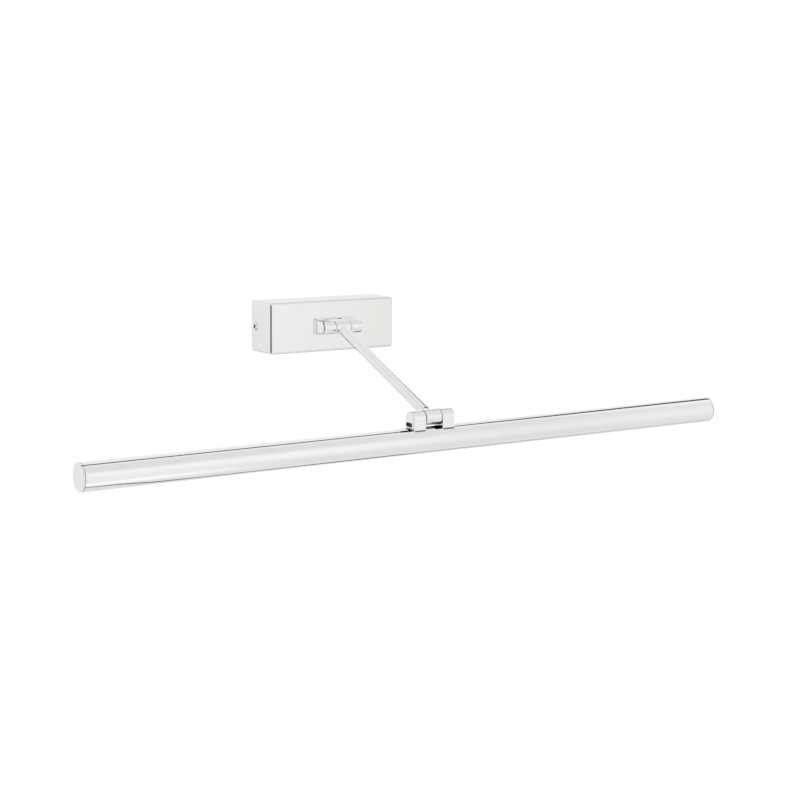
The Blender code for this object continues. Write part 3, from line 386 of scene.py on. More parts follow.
SCREW_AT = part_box("cover_screw_left")
SCREW_Y, SCREW_Z = (SCREW_AT[0].y + SCREW_AT[1].y) / 2 / MM, (SCREW_AT[0].z + SCREW_AT[1].z) / 2 / MM
# painted reflection on the screw heads: dark arcs round the rim and over the cross
SCREW_PAINTED_SHADE = [
    ((-BOX_HALF / MM - 1.0, SCREW_Y + dy, SCREW_Z + dz), (2.6, hy, hz), strength, 0.35)
    for dy, dz, hy, hz, strength in (
        (0.5, 4.5, 1.3, 0.55, 0.8), (4.2, 1.9, 0.7, 1.5, 0.9), (-1.8, -4.2, 1.4, 0.5, 0.75),
        (-3.6, -2.2, 0.6, 0.9, 0.55), (0.6, 0.2, 1.0, 1.1, 1.0), (-1.2, -1.0, 0.9, 0.8, 0.9), (-0.1, 2.2, 0.6, 0.8, 0.5),
    )
]
TUBE_AT = (AXIS.y / MM, AXIS.z / MM + 13.0)
# painted shade on the tube: the dark reflection left of the lamp ear and painted contact shadows in front of the
# ears' feet
TUBE_PAINTED_SHADE = [
    ((-33.5, TUBE_AT[0] - 6.7, TUBE_AT[1]), (7.2, 1.0, 6.0), 0.97, 0.5),
    ((-28.2, TUBE_AT[0] - 6.0, TUBE_AT[1]), (2.0, 1.7, 6.0), 0.97, 0.5),
    ((-17.6, TUBE_AT[0] - 8.5, TUBE_AT[1]), (6.5, 0.45, 6.0), 0.85, 0.25),
    ((17.6, TUBE_AT[0] - 8.5, TUBE_AT[1]), (6.6, 0.5, 6.0), 0.9, 0.25),
    ((-4.0, TUBE_AT[0] - 5.6, TUBE_AT[1]), (6.2, 0.9, 6.0), 0.97, 0.4),
    ((5.4, TUBE_AT[0] - 5.9, TUBE_AT[1]), (4.4, 2.1, 6.0), 0.98, 0.5),
]
LAMP_Z = LAMP_PIVOT.z / MM
# painted shadow under the lamp barrel
BARREL_PAINTED_SHADE = [
    ((0.0, TUBE_AT[0] - 3.0, LAMP_Z - 8.6), (9.6, 4.4, 0.55), 0.85, 0.2),
    ((6.2, TUBE_AT[0] - 3.4, LAMP_Z - 8.4), (3.6, 4.8, 0.95), 0.95, 0.35),
]
WALL_Y = WALL_PIVOT.y / MM
# painted shade on the wall hinge: dark reflected lines and crevice shade at its top and foot
KNUCKLE_PAINTED_SHADE = [
    ((5.0, -51.0, 8.5), (2.3, 1.0, 0.75), 1.0, 0.4),
    ((-5.5, -51.0, 8.4), (9.5, 1.0, 0.5), 0.42, 0.4),
    ((-11.6, WALL_Y - 7.1, -2.3), (0.9, 1.5, 0.6), 1.0, 0.4),
    ((-13.6, WALL_Y - 7.1, -2.2), (2.2, 1.5, 0.3), 0.45, 0.4),
    ((-7.0, WALL_Y - 6.8, -3.1), (1.0, 1.6, 0.8), 1.0, 0.4),
    ((19.2, WALL_Y - 5.3, -5.3), (4.6, 1.6, 0.42), 0.75, 0.3),
    ((-9.65, WALL_Y - 5.0, 5.4), (0.55, 3.6, 2.4), 0.95, 0.2),
    ((-25.0, -48.2, 8.4), (1.0, 3.0, 0.6), 0.55, 0.4),
]
CHROME_X = chrome_material("chrome_tube", grain=(0.012, 1.0, 1.0), crevice_shade_floor=0.03, painted_shade_boxes=TUBE_PAINTED_SHADE)
CHROME = chrome_material("chrome_plate", grain=(0.03, 1.0, 1.0), painted_shade_boxes=BARREL_PAINTED_SHADE)
# painted shadow where the bar's top meets the lamp barrel
BAR_PAINTED_SHADE = [((0.4, TUBE_AT[0] + 8.5, LAMP_Z + 8.3), (2.7, 0.75, 0.8), 0.9, 0.4)]
CHROME_Y = chrome_material("chrome_bar", grain=(1.0, 0.03, 0.05), tint=(0.885, 0.886, 0.878), painted_shade_boxes=BAR_PAINTED_SHADE)
# the case colour is painted darker towards its +X end
CHROME_BOX = chrome_material(
    "chrome_case", grain=(0.03, 1.0, 1.0), tint=(0.885, 0.886, 0.876), edge=0.87, shade_along_x=(-0.078, 0.078, 0.945)
)
CHROME_KNUCKLE = chrome_material(
    "chrome_knuckle", grain=(0.03, 1.0, 1.0), tint=(0.895, 0.896, 0.89), rough=0.085, painted_shade_boxes=KNUCKLE_PAINTED_SHADE, level_top=True
)
NICKEL = screw_material()
ZINC = zinc_material()
STEEL = metal_material("ground_steel", (0.62, 0.62, 0.63), (0.54, 0.54, 0.55), 0.25, grain=(1, 0.1, 0.1))
BRASS = metal_material("brass", (0.80, 0.63, 0.33), (0.70, 0.53, 0.26), 0.27, 1200.0)
ALUMINIUM = metal_material(
    "mill_aluminium", (0.79, 0.80, 0.81), (0.72, 0.73, 0.74), 0.36, 1800.0, (0.01, 1.0, 1.0), 0.2
)
POLYMER = plastic_material("friction_polymer", (0.62, 0.62, 0.60), (0.55, 0.55, 0.53), 0.42)
# painted shade: a near-black lining standing in for shade in the screw crosses and ear pockets
PAINTED_RECESS_SHADE = plastic_material("painted_recess_shade", (0.012, 0.012, 0.013), (0.006, 0.006, 0.006), 0.6, 900.0, 0.2)
RUBBER = plastic_material("black_rubber", (0.028, 0.028, 0.03), (0.018, 0.018, 0.018), 0.68, 900.0, 0.3)
SLEEVE = plastic_material("lead_sleeve", (0.11, 0.11, 0.115), (0.075, 0.075, 0.08), 0.48, 700.0, 0.25)
WHITE = plastic_material("white_moulding", (0.87, 0.87, 0.855), (0.82, 0.82, 0.80), 0.42, 1300.0, 0.2)
NYLON = plastic_material("natural_nylon", (0.84, 0.83, 0.78), (0.78, 0.77, 0.71), 0.45, 1000.0, 0.15)
MASK = plastic_material("solder_mask", (0.91, 0.915, 0.91), (0.88, 0.885, 0.88), 0.28, 2600.0, 0.08, 0.3)
OPAL = opal_material()


# ------------------------------------------------------------------ mesh helpers


def finish_piece(name, bm, mat, body, nodes=(), sharp=28.0, weighted=True):
    bmesh.ops.remove_doubles(bm, verts=list(bm.verts), dist=1e-7)
    bmesh.ops.recalc_face_normals(bm, faces=list(bm.faces))
    mesh = bpy.data.meshes.new(name)
    bm.to_mesh(mesh)
    bm.free()
    obj = bpy.data.objects.new(name, mesh)
    bpy.context.scene.collection.objects.link(obj)
    return dress(obj, mat, body, nodes, sharp, weighted)


def dress(obj, mat, body, nodes=(), sharp=28.0, weighted=True):
    obj.data.materials.clear()
    obj.data.materials.append(mat)
    for polygon in obj.data.polygons:
        polygon.material_index = 0
    obj.data.shade_smooth()
    obj.data.set_sharp_from_angle(angle=math.radians(sharp))
    if weighted:
        mod = obj.modifiers.new("weighted", "WEIGHTED_NORMAL")
        mod.mode, mod.weight, mod.keep_sharp = "FACE_AREA", 100, True
    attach(obj, body)
    if nodes:
        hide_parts(*nodes)
    return obj


def lines(obj, amount):
    """Store how dark the painted reflection line is at each vertex; the chrome paints it into its colour as painted
    shade.
    """
    data = obj.data.attributes.new("painted_dark_line", "FLOAT", "POINT")
    for i, v in enumerate(obj.data.vertices):
        data.data[i].value = max(0.0, min(1.0, amount(v.co)))


def second_material(obj, mat, inside):
    obj.data.materials.append(mat)
    for polygon in obj.data.polygons:
        if inside(polygon.center):
            polygon.material_index = 1


def bump01(value, a, b, soft):
    """1 between a and b, easing to 0 over soft on both sides."""
    low = (value - (a - soft)) / soft
    high = ((b + soft) - value) / soft
    return max(0.0, min(1.0, low, high))


def raw(name, bm):
    bmesh.ops.remove_doubles(bm, verts=list(bm.verts), dist=1e-7)
    bmesh.ops.recalc_face_normals(bm, faces=list(bm.faces))
    mesh = bpy.data.meshes.new(name)
    bm.to_mesh(mesh)
    bm.free()
    obj = bpy.data.objects.new(name, mesh)
    bpy.context.scene.collection.objects.link(obj)
    return obj


def carve(obj, tools, operation="DIFFERENCE"):
    for bm in tools:
        tool = raw("tool", bm)
        mod = obj.modifiers.new("carve", "BOOLEAN")
        mod.operation, mod.solver, mod.object = operation, "EXACT", tool
        bpy.context.view_layer.update()
        graph = bpy.context.evaluated_depsgraph_get()
        mesh = bpy.data.meshes.new_from_object(obj.evaluated_get(graph))
        obj.modifiers.clear()
        old, obj.data = obj.data, mesh
        bpy.data.meshes.remove(old)
        bpy.data.objects.remove(tool, do_unlink=True)
    return obj


def loft(rings, cap_start=True, cap_end=True, loop=False):
    """A closed body through rings of points, each ring in the same order."""
    bm = bmesh.new()
    made = [[bm.verts.new(p) for p in ring] for ring in rings]
    pairs = list(zip(made, made[1:])) + ([(made[-1], made[0])] if loop else [])
    for low, high in pairs:
        for i in range(len(low)):
            bm.faces.new((low[i - 1], low[i], high[i], high[i - 1]))
    if not loop:
        if cap_start:
            bm.faces.new(made[0])
        if cap_end:
            bm.faces.new(made[-1][::-1])
    return bm


def turned(profile, centre, axis, steps=96):
    """A turned body. Profile: (radius, distance) points from one pole or rim to the other; closed when it has no pole."""
    axis = Vector(axis).normalized()
    side = axis.orthogonal().normalized()
    other = axis.cross(side)
    centre = Vector(centre)
    bm = bmesh.new()
    rows = []
    for r, d in profile:
        at = centre + axis * d
        if r < 1e-9:
            rows.append([bm.verts.new(at)])
        else:
            rows.append(
                [
                    bm.verts.new(
                        at + (side * math.cos(TAU * i / steps) + other * math.sin(TAU * i / steps)) * r
                    )
                    for i in range(steps)
                ]
            )
    closed = len(rows[0]) > 1
    pairs = list(zip(rows, rows[1:])) + ([(rows[-1], rows[0])] if closed else [])
    for a, b in pairs:
        for i in range(steps):
            j = (i + 1) % steps
            if len(a) == 1 and len(b) == 1:
                continue
            if len(a) == 1:
                bm.faces.new((a[0], b[i], b[j]))
            elif len(b) == 1:
                bm.faces.new((a[j], a[i], b[0]))
            else:
                bm.faces.new((a[j], a[i], b[i], b[j]))
    return bm


def rod(radius, start, end, steps=48):
    start, end = Vector(start), Vector(end)
    length = (end - start).length
    return turned([(0, 0), (radius, 0), (radius, length), (0, length)], start, end - start, steps)


def block(lo, hi, bevel=0.0, segments=3):
    bm = bmesh.new()
    bmesh.ops.create_cube(bm, size=1.0)
    lo, hi = Vector(lo), Vector(hi)
    for v in bm.verts:
        v.co = Vector(((lo[i] + hi[i]) / 2 + v.co[i] * (hi[i] - lo[i]) for i in range(3)))
    if bevel:
        bmesh.ops.bevel(
            bm, geom=list(bm.edges), offset=bevel, segments=segments, profile=0.5, affect="EDGES"
        )
    return bm


def corner_arc(cy, cz, r, a0, a1, steps, share0=1.0, share1=1.0):
    """One arc of a section outline in (Y, Z), angles in degrees; shares scale the rim radius at its ends."""
    return dict(c=(cy, cz), r=r, a=(math.radians(a0), math.radians(a1)), n=steps, k=(share0, share1))


def outline_at(arcs, inset, share_of=lambda k: 1.0):
    """The outline drawn in by inset. Where an arc is smaller than the inset, its corner slides inwards."""
    points = []
    for arc in arcs:
        (cy, cz), r, (a0, a1), n, (k0, k1) = arc["c"], arc["r"], arc["a"], arc["n"], arc["k"]
        for i in range(n + 1):
            a = a0 + (a1 - a0) * i / n
            k = k0 + (k1 - k0) * i / n
            d = inset * k
            left = max(r - d, 2e-6)
            y, z = cy + left * math.cos(a), cz + left * math.sin(a)
            if d > r - 2e-6:
                over = d - r + 2e-6
                y -= over * (math.cos(a0) + math.cos(a1))
                z -= over * (math.sin(a0) + math.sin(a1))
            points.append((y, z, k))
    return points


def rimmed_prism(arcs, x0, x1, r0, r1, steps=8):
    """A section drawn out along X with a rounded rim at each end. Rim radii may vary round the outline."""
    rings = []
    for x_end, r, way in ((x0, r0, 1.0), (x1, r1, -1.0)):
        ring_set = []
        for j in range(steps + 1):
            t = math.pi / 2 * j / steps
            points = outline_at(arcs, r * (1 - math.sin(t)))
            ring_set.append(
                [Vector((x_end + way * r * k * (1 - math.cos(t)), y, z)) for y, z, k in points]
            )
        rings += ring_set if way > 0 else ring_set[::-1]
    return loft(rings)


def smooth_path_tube(points, radius, sides=24, per_span=14):
    """A round lead through points, as a swept mesh with closed ends."""
    pts = [Vector(p) for p in points]
    ext = [pts[0] * 2 - pts[1]] + pts + [pts[-1] * 2 - pts[-2]]
    path = []
    for i in range(1, len(ext) - 2):
        p0, p1, p2, p3 = ext[i - 1 : i + 3]
        for j in range(per_span):
            t = j / per_span
            path.append(
                0.5
                * (
                    2 * p1
                    + (p2 - p0) * t
                    + (2 * p0 - 5 * p1 + 4 * p2 - p3) * t * t
                    + (3 * p1 - p0 - 3 * p2 + p3) * t**3
                )
            )
    path.append(pts[-1])
    rings = []
    side = None
    for i, p in enumerate(path):
        along = (path[min(i + 1, len(path) - 1)] - path[max(i - 1, 0)]).normalized()
        side = (
            along.orthogonal().normalized()
            if side is None
            else (side - along * side.dot(along)).normalized()
        )
        other = along.cross(side)
        rings.append(
            [
                p + (side * math.cos(TAU * k / sides) + other * math.sin(TAU * k / sides)) * radius
                for k in range(sides)
            ]
        )
    return loft(rings)


# ------------------------------------------------------------------ wall box


def build_cover():
    y0, y1, z1 = FRONT_Y, COVER_HI.y, COVER_HI.z
    rf, rr = 3.0 * MM, 3.2 * MM
    rear = 0.9 / 2.8
    n = 12
    arcs = [
        corner_arc(y0 + rf, -z1 + rf, rf, 180, 270, n),
        corner_arc(y1 - rr, -z1 + rr, rr, 270, 360, n, 1.0, rear),
        corner_arc(y1 - rr, z1 - rr, rr, 0, 90, n, rear, 1.0),
        corner_arc(y0 + rf, z1 - rf, rf, 90, 180, n),
    ]
    shell = raw("box_cover_shell", rimmed_prism(arcs, -BOX_HALF, BOX_HALF, 2.8 * MM, 2.8 * MM, 10))
    t, lip = 1.5 * MM, 5.0 * MM
    inner = [
        corner_arc(y0 + t + 1.5 * MM, -z1 + t + 1.5 * MM, 1.5 * MM, 180, 270, 6),
        corner_arc(-t - 1.6 * MM, -z1 + t + 1.6 * MM, 1.6 * MM, 270, 360, 6),
        corner_arc(-t - 1.6 * MM, z1 - t - 1.6 * MM, 1.6 * MM, 0, 90, 6),
        corner_arc(y0 + t + 1.5 * MM, z1 - t - 1.5 * MM, 1.5 * MM, 90, 180, 6),
    ]
    tools = [
        rimmed_prism(inner, -BOX_HALF + t, BOX_HALF - t, 0.4 * MM, 0.4 * MM, 3),
        block(
            (-BOX_HALF + t, -10 * MM, -z1 + lip),
            (BOX_HALF - t, 2 * MM, z1 - lip),
        ),
    ]
    for s in (-1, 1):
        tools.append(rod(2.3 * MM, (s * (BOX_HALF - 6 * MM), -11 * MM, 0), (s * (BOX_HALF + 2 * MM), -11 * MM, 0)))
        tools.append(rod(2.2 * MM, (s * 15 * MM, y0 - 2 * MM, 0), (s * 15 * MM, y0 + 4 * MM, 0)))
    tools.append(rod(1.7 * MM, (21.7 * MM, y0 - 2 * MM, 0), (21.7 * MM, y0 + 4 * MM, 0), 32))
    carve(shell, tools)
    shell.name = shell.data.name = "cover_shell"
    rim = 2.8 * MM

    def upright_painted_reflection(co):
        # painted reflection: a dark line on the fillet between the left face and the front
        a, b = rim - (co.x + BOX_HALF), rim - (co.y - y0)
        if a <= 0.02 * MM or b <= 0.02 * MM or abs(co.z) > z1:
            return 0.0
        if math.hypot(a, b) < rim * 0.9:
            return 0.0
        turn = math.degrees(math.atan2(b, a))
        return 0.97 * bump01(turn, 34.0, 58.0, 8.0) * bump01(abs(co.z), -1.0, z1 - 3.2 * MM, 1.6 * MM)

    lines(shell, upright_painted_reflection)
    dress(shell, CHROME_BOX, "wall_box", ("box_cover",), 28.0).visible_glossy = False


def pan_screw(name, seat, into, head_r, head_h, shank_r, shank_l, recess, mat, body, node, turn_deg=12.0):
    """A pan-head screw with a domed, softly rimmed head, a cross recess and a thread on its shank."""
    into = Vector(into).normalized()
    profile = [(0.0, -head_h)]
    for i in range(1, 15):
        a = math.radians(90 - 90 * i / 14)
        profile.append((head_r * math.cos(a) ** 0.7, -head_h * (0.26 + 0.74 * math.sin(a) ** 1.3)))
    profile += [(head_r, -head_h * 0.16), (head_r - 0.12 * MM, 0.0), (shank_r, 0.0)]
    d, pitch = 0.5 * MM, 1.0 * MM
    while d < shank_l - 1.3 * MM:
        profile += [(shank_r, d), (shank_r * 0.80, d + pitch * 0.45), (shank_r * 0.80, d + pitch * 0.55)]
        d += pitch
    profile += [(shank_r * 0.9, shank_l - 0.7 * MM), (shank_r * 0.5, shank_l), (0.0, shank_l)]
    obj = raw(name, turned(profile, seat, into, 64))
    side = into.orthogonal().normalized()
    up = into.cross(side)
    blades = []
    for k in range(2):
        ang = math.radians(turn_deg) + k * math.pi / 2
        a = side * math.cos(ang) + up * math.sin(ang)
        b = into.cross(a)
        rings = []
        for depth, half, w in (
            (-head_h - 1.0 * MM, recess * 1.12, 0.80 * MM),
            (-head_h + 0.2 * MM, recess, 0.74 * MM),
            (-head_h + head_h * 0.66, recess * 0.6, 0.44 * MM),
        ):
            at = Vector(seat) + into * depth
            rings.append(
                [at + a * (half * i) + b * (w * j) for i, j in ((1, 1), (-1, 1), (-1, -1), (1, -1))]
            )
        blades.append(loft(rings))
    carve(obj, blades)
    obj.data.name = name
    dress(obj, mat, body, (node,), 30.0)

    def in_cross(co):
        out = co - Vector(seat)
        depth = out.dot(into)
        across = out - into * depth
        return depth > -head_h * 0.98 and depth < -head_h * 0.30 and across.length < recess * 1.02 and min(
            abs(across.dot(side * math.cos(math.radians(a)) + up * math.sin(math.radians(a)))) for a in (turn_deg, turn_deg + 90.0)
        ) < 0.77 * MM

    # painted shade: the cross recess is lined with the near-black material
    second_material(obj, PAINTED_RECESS_SHADE, in_cross)


def build_base():
    bm = block(BASE_LO, BASE_HI, 0.55 * MM, 4)
    obj = raw("hinge_base_bar", bm)
    y0, y1 = BASE_LO.y - 1 * MM, BASE_HI.y + 1 * MM
    tools = [rod(2.2 * MM, (x, y0, 0), (x, y1, 0)) for x in (-15 * MM, 15 * MM)]
    tools.append(rod(1.6 * MM, (21.7 * MM, y0, 0), (21.7 * MM, y1, 0), 32))
    carve(obj, tools)
    # painted reflection: a faint dark strip at the base bar's left end
    lines(obj, lambda co: 0.12 if co.x < -HINGE_HALF + 0.3 * MM else 0.0)
    dress(obj, CHROME_KNUCKLE, "wall_box", ("wall_hinge_base",)).visible_glossy = False


def build_wall_ears():
    py, pz = WALL_PIVOT.y, WALL_PIVOT.z
    r, back, c = WALL_EAR_R, EAR_HI.y, 0.35 * MM
    arcs = [
        corner_arc(py, pz, r, 90, 270, 48),
        corner_arc(back - c, pz - r + c, c, 270, 360, 4),
        corner_arc(back - c, pz + r - c, c, 0, 90, 4),
    ]
    for side, s in (("left", -1), ("right", 1)):
        outer, inner = s * HINGE_HALF, s * EAR_IN
        x0, x1 = sorted((outer, inner))
        r0, r1 = (2.3 * MM, 0.35 * MM) if s < 0 else (0.35 * MM, 2.3 * MM)
        obj = raw("wall_knuckle_" + side, rimmed_prism(arcs, x0, x1, r0, r1, 10))
        tools = [
            rod(3.08 * MM, (s * (EAR_IN - 2 * MM), py, pz), (s * 23.2 * MM, py, pz)),
            rod(1.7 * MM, (s * 15 * MM, back + 2 * MM, 0), (s * 15 * MM, py + 4 * MM, 0), 32),
        ]
        if s > 0:
            tools.append(rod(1.6 * MM, (21.7 * MM, back + 2 * MM, 0), (21.7 * MM, py, 0), 32))
        carve(obj, tools)
        rim = 2.3 * MM

        def rim_painted_reflection(co, s=s, rim=rim):
            # painted reflection: how dark the line is at this point round the rim fillet of the left ear
            if s > 0:
                return 0.0
            a = rim - (co.x + HINGE_HALF)
            if a <= 0.0:
                return 0.0
            if co.y < py:
                out = math.hypot(co.y - py, co.z - pz)
            else:
                out = abs(co.z - pz)
            b = rim - (r - out)
            if b <= 0.0:
                return 0.0
            turn = math.degrees(math.atan2(b, a))
            where = math.degrees(math.atan2(co.z - pz, py - co.y))
            weight = 0.62 if where > 35 else (0.46 if where > -50 else 0.33)
            low = 20.0 + 42.0 * max(0.0, min(1.0, (where - 25.0) / 50.0))
            return weight * bump01(turn, low, low + 26.0, 12.0)

        lines(obj, rim_painted_reflection)
        dress(obj, CHROME_KNUCKLE, "wall_box", ("wall_ear_" + side,)).visible_glossy = False


def build_plate():
    """Bent zinc-plated strip: flanges with softened bends, wall slots, cable hole and fixing holes."""
    lo, hi = PLATE_LO, PLATE_HI
    t = 1.5 * MM
    obj = raw("wall_plate", block((lo.x, -t, lo.z), (hi.x, 0.0, hi.z), 0.2 * MM, 2))
    flanges = []
    for s in (-1, 1):
        x = s * hi.x
        n, ro, ri = 10, 1.9 * MM, 0.4 * MM
        outer, inner = [], []
        # the bend runs from the plate's back face up the flange's outer face
        cx, cy = x - s * ro, -ro
        for i in range(n + 1):
            a = math.pi / 2 * i / n
            outer.append((cx + s * ro * math.sin(a), cy + ro * math.cos(a)))
            inner.append((cx + s * ri * math.sin(a), cy + ri * math.cos(a)))
        outer = [(x - s * 6 * MM, 0.0)] + outer + [(x, lo.y)]
        inner = [(x - s * 6 * MM, -t)] + inner + [(x - s * t, lo.y)]
        loop = outer + inner[::-1]
        rings = [[Vector((px, py, z)) for px, py in loop] for z in (-11 * MM, 11 * MM)]
        flanges.append(loft(rings))
    # the flat plate stops short of the bends, which the flanges then carry
    ends = [
        block((hi.x - 3.4 * MM, -5 * MM, -11 * MM), (hi.x + 2 * MM, 3 * MM, 11 * MM)),
        block((lo.x - 2 * MM, -5 * MM, -11 * MM), (lo.x + 3.4 * MM, 3 * MM, 11 * MM)),
    ]
    carve(obj, ends)
    carve(obj, flanges, "UNION")
    tools = []
    for s in (-1, 1):
        x, w, l = s * 66 * MM, 2.5 * MM, 6 * MM
        slot_ring = []
        for a0, cz in ((0, l - w), (180, -l + w)):
            for i in range(25):
                a = math.radians(a0 + 180 * i / 24)
                slot_ring.append((x + w * math.cos(a), cz + w * math.sin(a)))
        tools.append(loft([[Vector((px, y, pz)) for px, pz in slot_ring] for y in (-3 * MM, 1 * MM)]))
        tools.append(rod(1.75 * MM, (s * (BOX_HALF - 8 * MM), -11 * MM, 0), (s * (BOX_HALF + 1 * MM), -11 * MM, 0)))
    tools.append(rod(7.0 * MM, (27 * MM, -3 * MM, 0), (27 * MM, 1 * MM, 0), 96))
    tools.append(rod(1.75 * MM, (27 * MM, -3 * MM, 15 * MM), (27 * MM, 1 * MM, 15 * MM)))
    for x, z in ((-59, 0), (15, 0), (45, -11), (45, 11)):
        tools.append(rod(1.3 * MM, (x * MM, -3 * MM, z * MM), (x * MM, 1 * MM, z * MM), 32))
    carve(obj, tools)
    dress(obj, ZINC, "wall_box", ("mounting_plate",))


def build_box_small():
    y = GROM_HI.y
    profile = []
    ring = [
        (5.5, 0.25), (5.75, 0.0), (6.5, 0.0), (6.7, 0.2), (6.7, 1.7), (8.1, 1.7), (8.4, 2.0),
        (8.4, 2.9), (8.25, 3.25), (7.9, 3.5), (6.2, 3.7), (5.7, 3.6), (5.5, 3.3),
    ]
    for r, d in ring:
        profile.append((r * MM, d * MM))
    centre = ((GROM_LO.x + GROM_HI.x) / 2, y, 0)
    finish_piece(
        "entry_grommet", turned(profile, centre, (0, -1, 0), 96), RUBBER, "wall_box",
        ("cable_grommet",), 40.0,
    )
    for side, s in (("left", -1), ("right", 1)):
        for where, pivot, r, body in (
            ("wall", WALL_PIVOT, 6.95 * MM, "wall_box"),
            ("lamp", LAMP_PIVOT, 7.3 * MM, "lamp_head"),
        ):
            node = f"{where}_friction_washer_{side}"
            lo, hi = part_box(node)
            t = hi.x - lo.x
            profile = [
                (3.15 * MM, 0.0), (r - 0.08 * MM, 0.0), (r, 0.08 * MM), (r, t - 0.08 * MM),
                (r - 0.08 * MM, t), (3.15 * MM, t),
            ]
            finish_piece(
                f"{where}_washer_ring_{side}", turned(profile, (lo.x, pivot.y, pivot.z), (1, 0, 0), 96),
                POLYMER, body, (node,), 40.0,
            )
    finish_piece(
        "supply_lead", smooth_path_tube(
            [(36.2 * MM, -8 * MM, -10.5 * MM), (29 * MM, -10 * MM, -13 * MM), (19 * MM, -17 * MM, -11 * MM), (12 * MM, -17 * MM, -9 * MM)],
            1.3 * MM,
        ), SLEEVE, "wall_box", ("driver_supply_lead",), 50.0,
    )
    finish_piece(
        "output_lead", smooth_path_tube(
            [(12 * MM, -17 * MM, 9 * MM), (18.5 * MM, -19 * MM, 8 * MM), (21.7 * MM, -30 * MM, 2 * MM),
             (21.7 * MM, -40 * MM, 0), (21.7 * MM, -51 * MM, 0), (21.7 * MM, WALL_PIVOT.y + 2.4 * MM, 0)],
            0.9 * MM,
        ), SLEEVE, "wall_box", ("driver_output_lead",), 50.0,
    )


# ------------------------------------------------------------------ arm


def build_arm():
    d = (LAMP_PIVOT - WALL_PIVOT)
    length = d.length
    d.normalize()
    up = Vector((1, 0, 0)).cross(d)
    if up.z < 0:
        up = -up
    w, h, t, c = 7.0 * MM, 8.8 * MM, 1.0 * MM, 0.75 * MM

    def section(w, h, c, n):
        pts = []
        for cx, cz, a0 in ((w / 2 - c, h / 2 - c, 0), (-w / 2 + c, h / 2 - c, 90), (-w / 2 + c, -h / 2 + c, 180), (w / 2 - c, -h / 2 + c, 270)):
            for i in range(n + 1):
                a = math.radians(a0 + 90 * i / n)
                pts.append((cx + c * math.cos(a), cz + c * math.sin(a)))
        return pts

    def along(points, s):
        return [WALL_PIVOT + Vector((a, 0, 0)) + up * b + d * s for a, b in points]

    outside, inside = section(w, h, c, 8), section(w - 2 * t, h - 2 * t, 0.3 * MM, 3)
    # extra points across the upper face and up the left face carry the painted dark reflection lines
    upper = [(x * MM, h / 2) for x in (2.4, 1.9, 1.4, 0.9, 0.4, -0.1, -0.6, -1.2, -2.0)]
    left = [(-w / 2, z * MM) for z in (2.4, 0.0, -1.6, -2.4, -3.0)]
    cut = 9
    outside = outside[:cut] + upper + outside[cut : 2 * cut] + left + outside[2 * cut :]
    stations = [4, 9, 14, 20, 26, 32, 37, 42, 48, 56, 66, 80, 100, 120, 140, 160, 175, 184]
    bar = raw(
        "arm_tube",
        loft([along(outside, s * MM) for s in stations] + [along(outside, length - 4 * MM)]),
    )
    wall_r = (BARREL_HI.z - BARREL_LO.z) / 2
    lamp_r = (LBARREL_HI.z - LBARREL_LO.z) / 2
    tools = [loft([along(inside, 0.0), along(inside, length)])]
    # the ends are fish-mouthed to the barrels they are brazed to
    for pivot, r in ((WALL_PIVOT, wall_r), (LAMP_PIVOT, lamp_r)):
        tools.append(rod(r - 0.05 * MM, pivot - Vector((9 * MM, 0, 0)), pivot + Vector((9 * MM, 0, 0)), 128))
    carve(bar, tools)

    # painted reflection: dark lines along the lower-left edge and across the top face
    def painted_reflection_lines(co):
        out = co - WALL_PIVOT
        s, a, b = out.dot(d), out.x, out.dot(up)
        if a < -w / 2 + c + 0.02 * MM and b < -h / 2 + c + 0.65 * MM:
            near = 0.93 if s < 38 * MM else max(0.30, 0.93 - (s / MM - 38) * 0.05)
            if b > -h / 2 + c + 0.1 * MM:
                near *= 0.35
            return near
        if b > h / 2 - 0.05 * MM and a > -w / 2 + c:
            centre = 0.0 + 1.3 * min(1.0, max(0.0, (s / MM - 50) / 100))
            strength = min(0.80, 0.07 + 0.73 * max(0.0, (s / MM - 60) / 125) ** 1.6)
            return strength * math.exp(-(((a / MM) - centre) / 0.8) ** 2)
        if a < -w / 2 + c + 0.02 * MM and b > h / 2 - c:
            return 0.10
        return 0.0

    lines(bar, painted_reflection_lines)
    dress(bar, CHROME_Y, "arm", ("arm_bar",)).visible_glossy = False

    for name, node, pivot, r, s in (
        ("wall_barrel", "arm_wall_barrel", WALL_PIVOT, wall_r, 1),
        ("lamp_barrel", "arm_lamp_barrel", LAMP_PIVOT, lamp_r, -1),
    ):
        half = BARREL_HI.x
        n, c = 6, 0.4 * MM
        profile = [(3.08 * MM, -half)]
        for i in range(n + 1):
            a = math.pi / 2 * i / n
            profile.append((r - c + c * math.sin(a), -half + c - c * math.cos(a)))
        for i in range(n + 1):
            a = math.pi / 2 * i / n
            profile.append((r - c + c * math.cos(a), half - c + c * math.sin(a)))
        profile += [(3.08 * MM, half), (3.08 * MM, 5 * MM), (4.9 * MM, 5 * MM), (4.9 * MM, -5 * MM), (3.08 * MM, -5 * MM)]
        barrel = raw(name, turned(profile, pivot, (1, 0, 0), 128))
        carve(barrel, [rod(2.0 * MM, pivot + d * s * 3.6 * MM, pivot + d * s * 10 * MM, 32)])
        dress(barrel, CHROME_KNUCKLE if s > 0 else CHROME, "arm", (node,))
        barrel.visible_glossy = s < 0

    finish_piece(
        "bar_lead",
        smooth_path_tube(
            [WALL_PIVOT + d * 4.2 * MM, WALL_PIVOT + d * (length * 0.5), LAMP_PIVOT - d * 4.2 * MM], 0.9 * MM
        ),
        SLEEVE, "arm", ("arm_lead",), 50.0,
    )


# ------------------------------------------------------------------ lamp head


def lamp_point(v, w, x):
    c, s = math.cos(SLOT_TURN), math.sin(SLOT_TURN)
    return Vector((x, AXIS.y + w * s + v * c, AXIS.z - w * c + v * s))


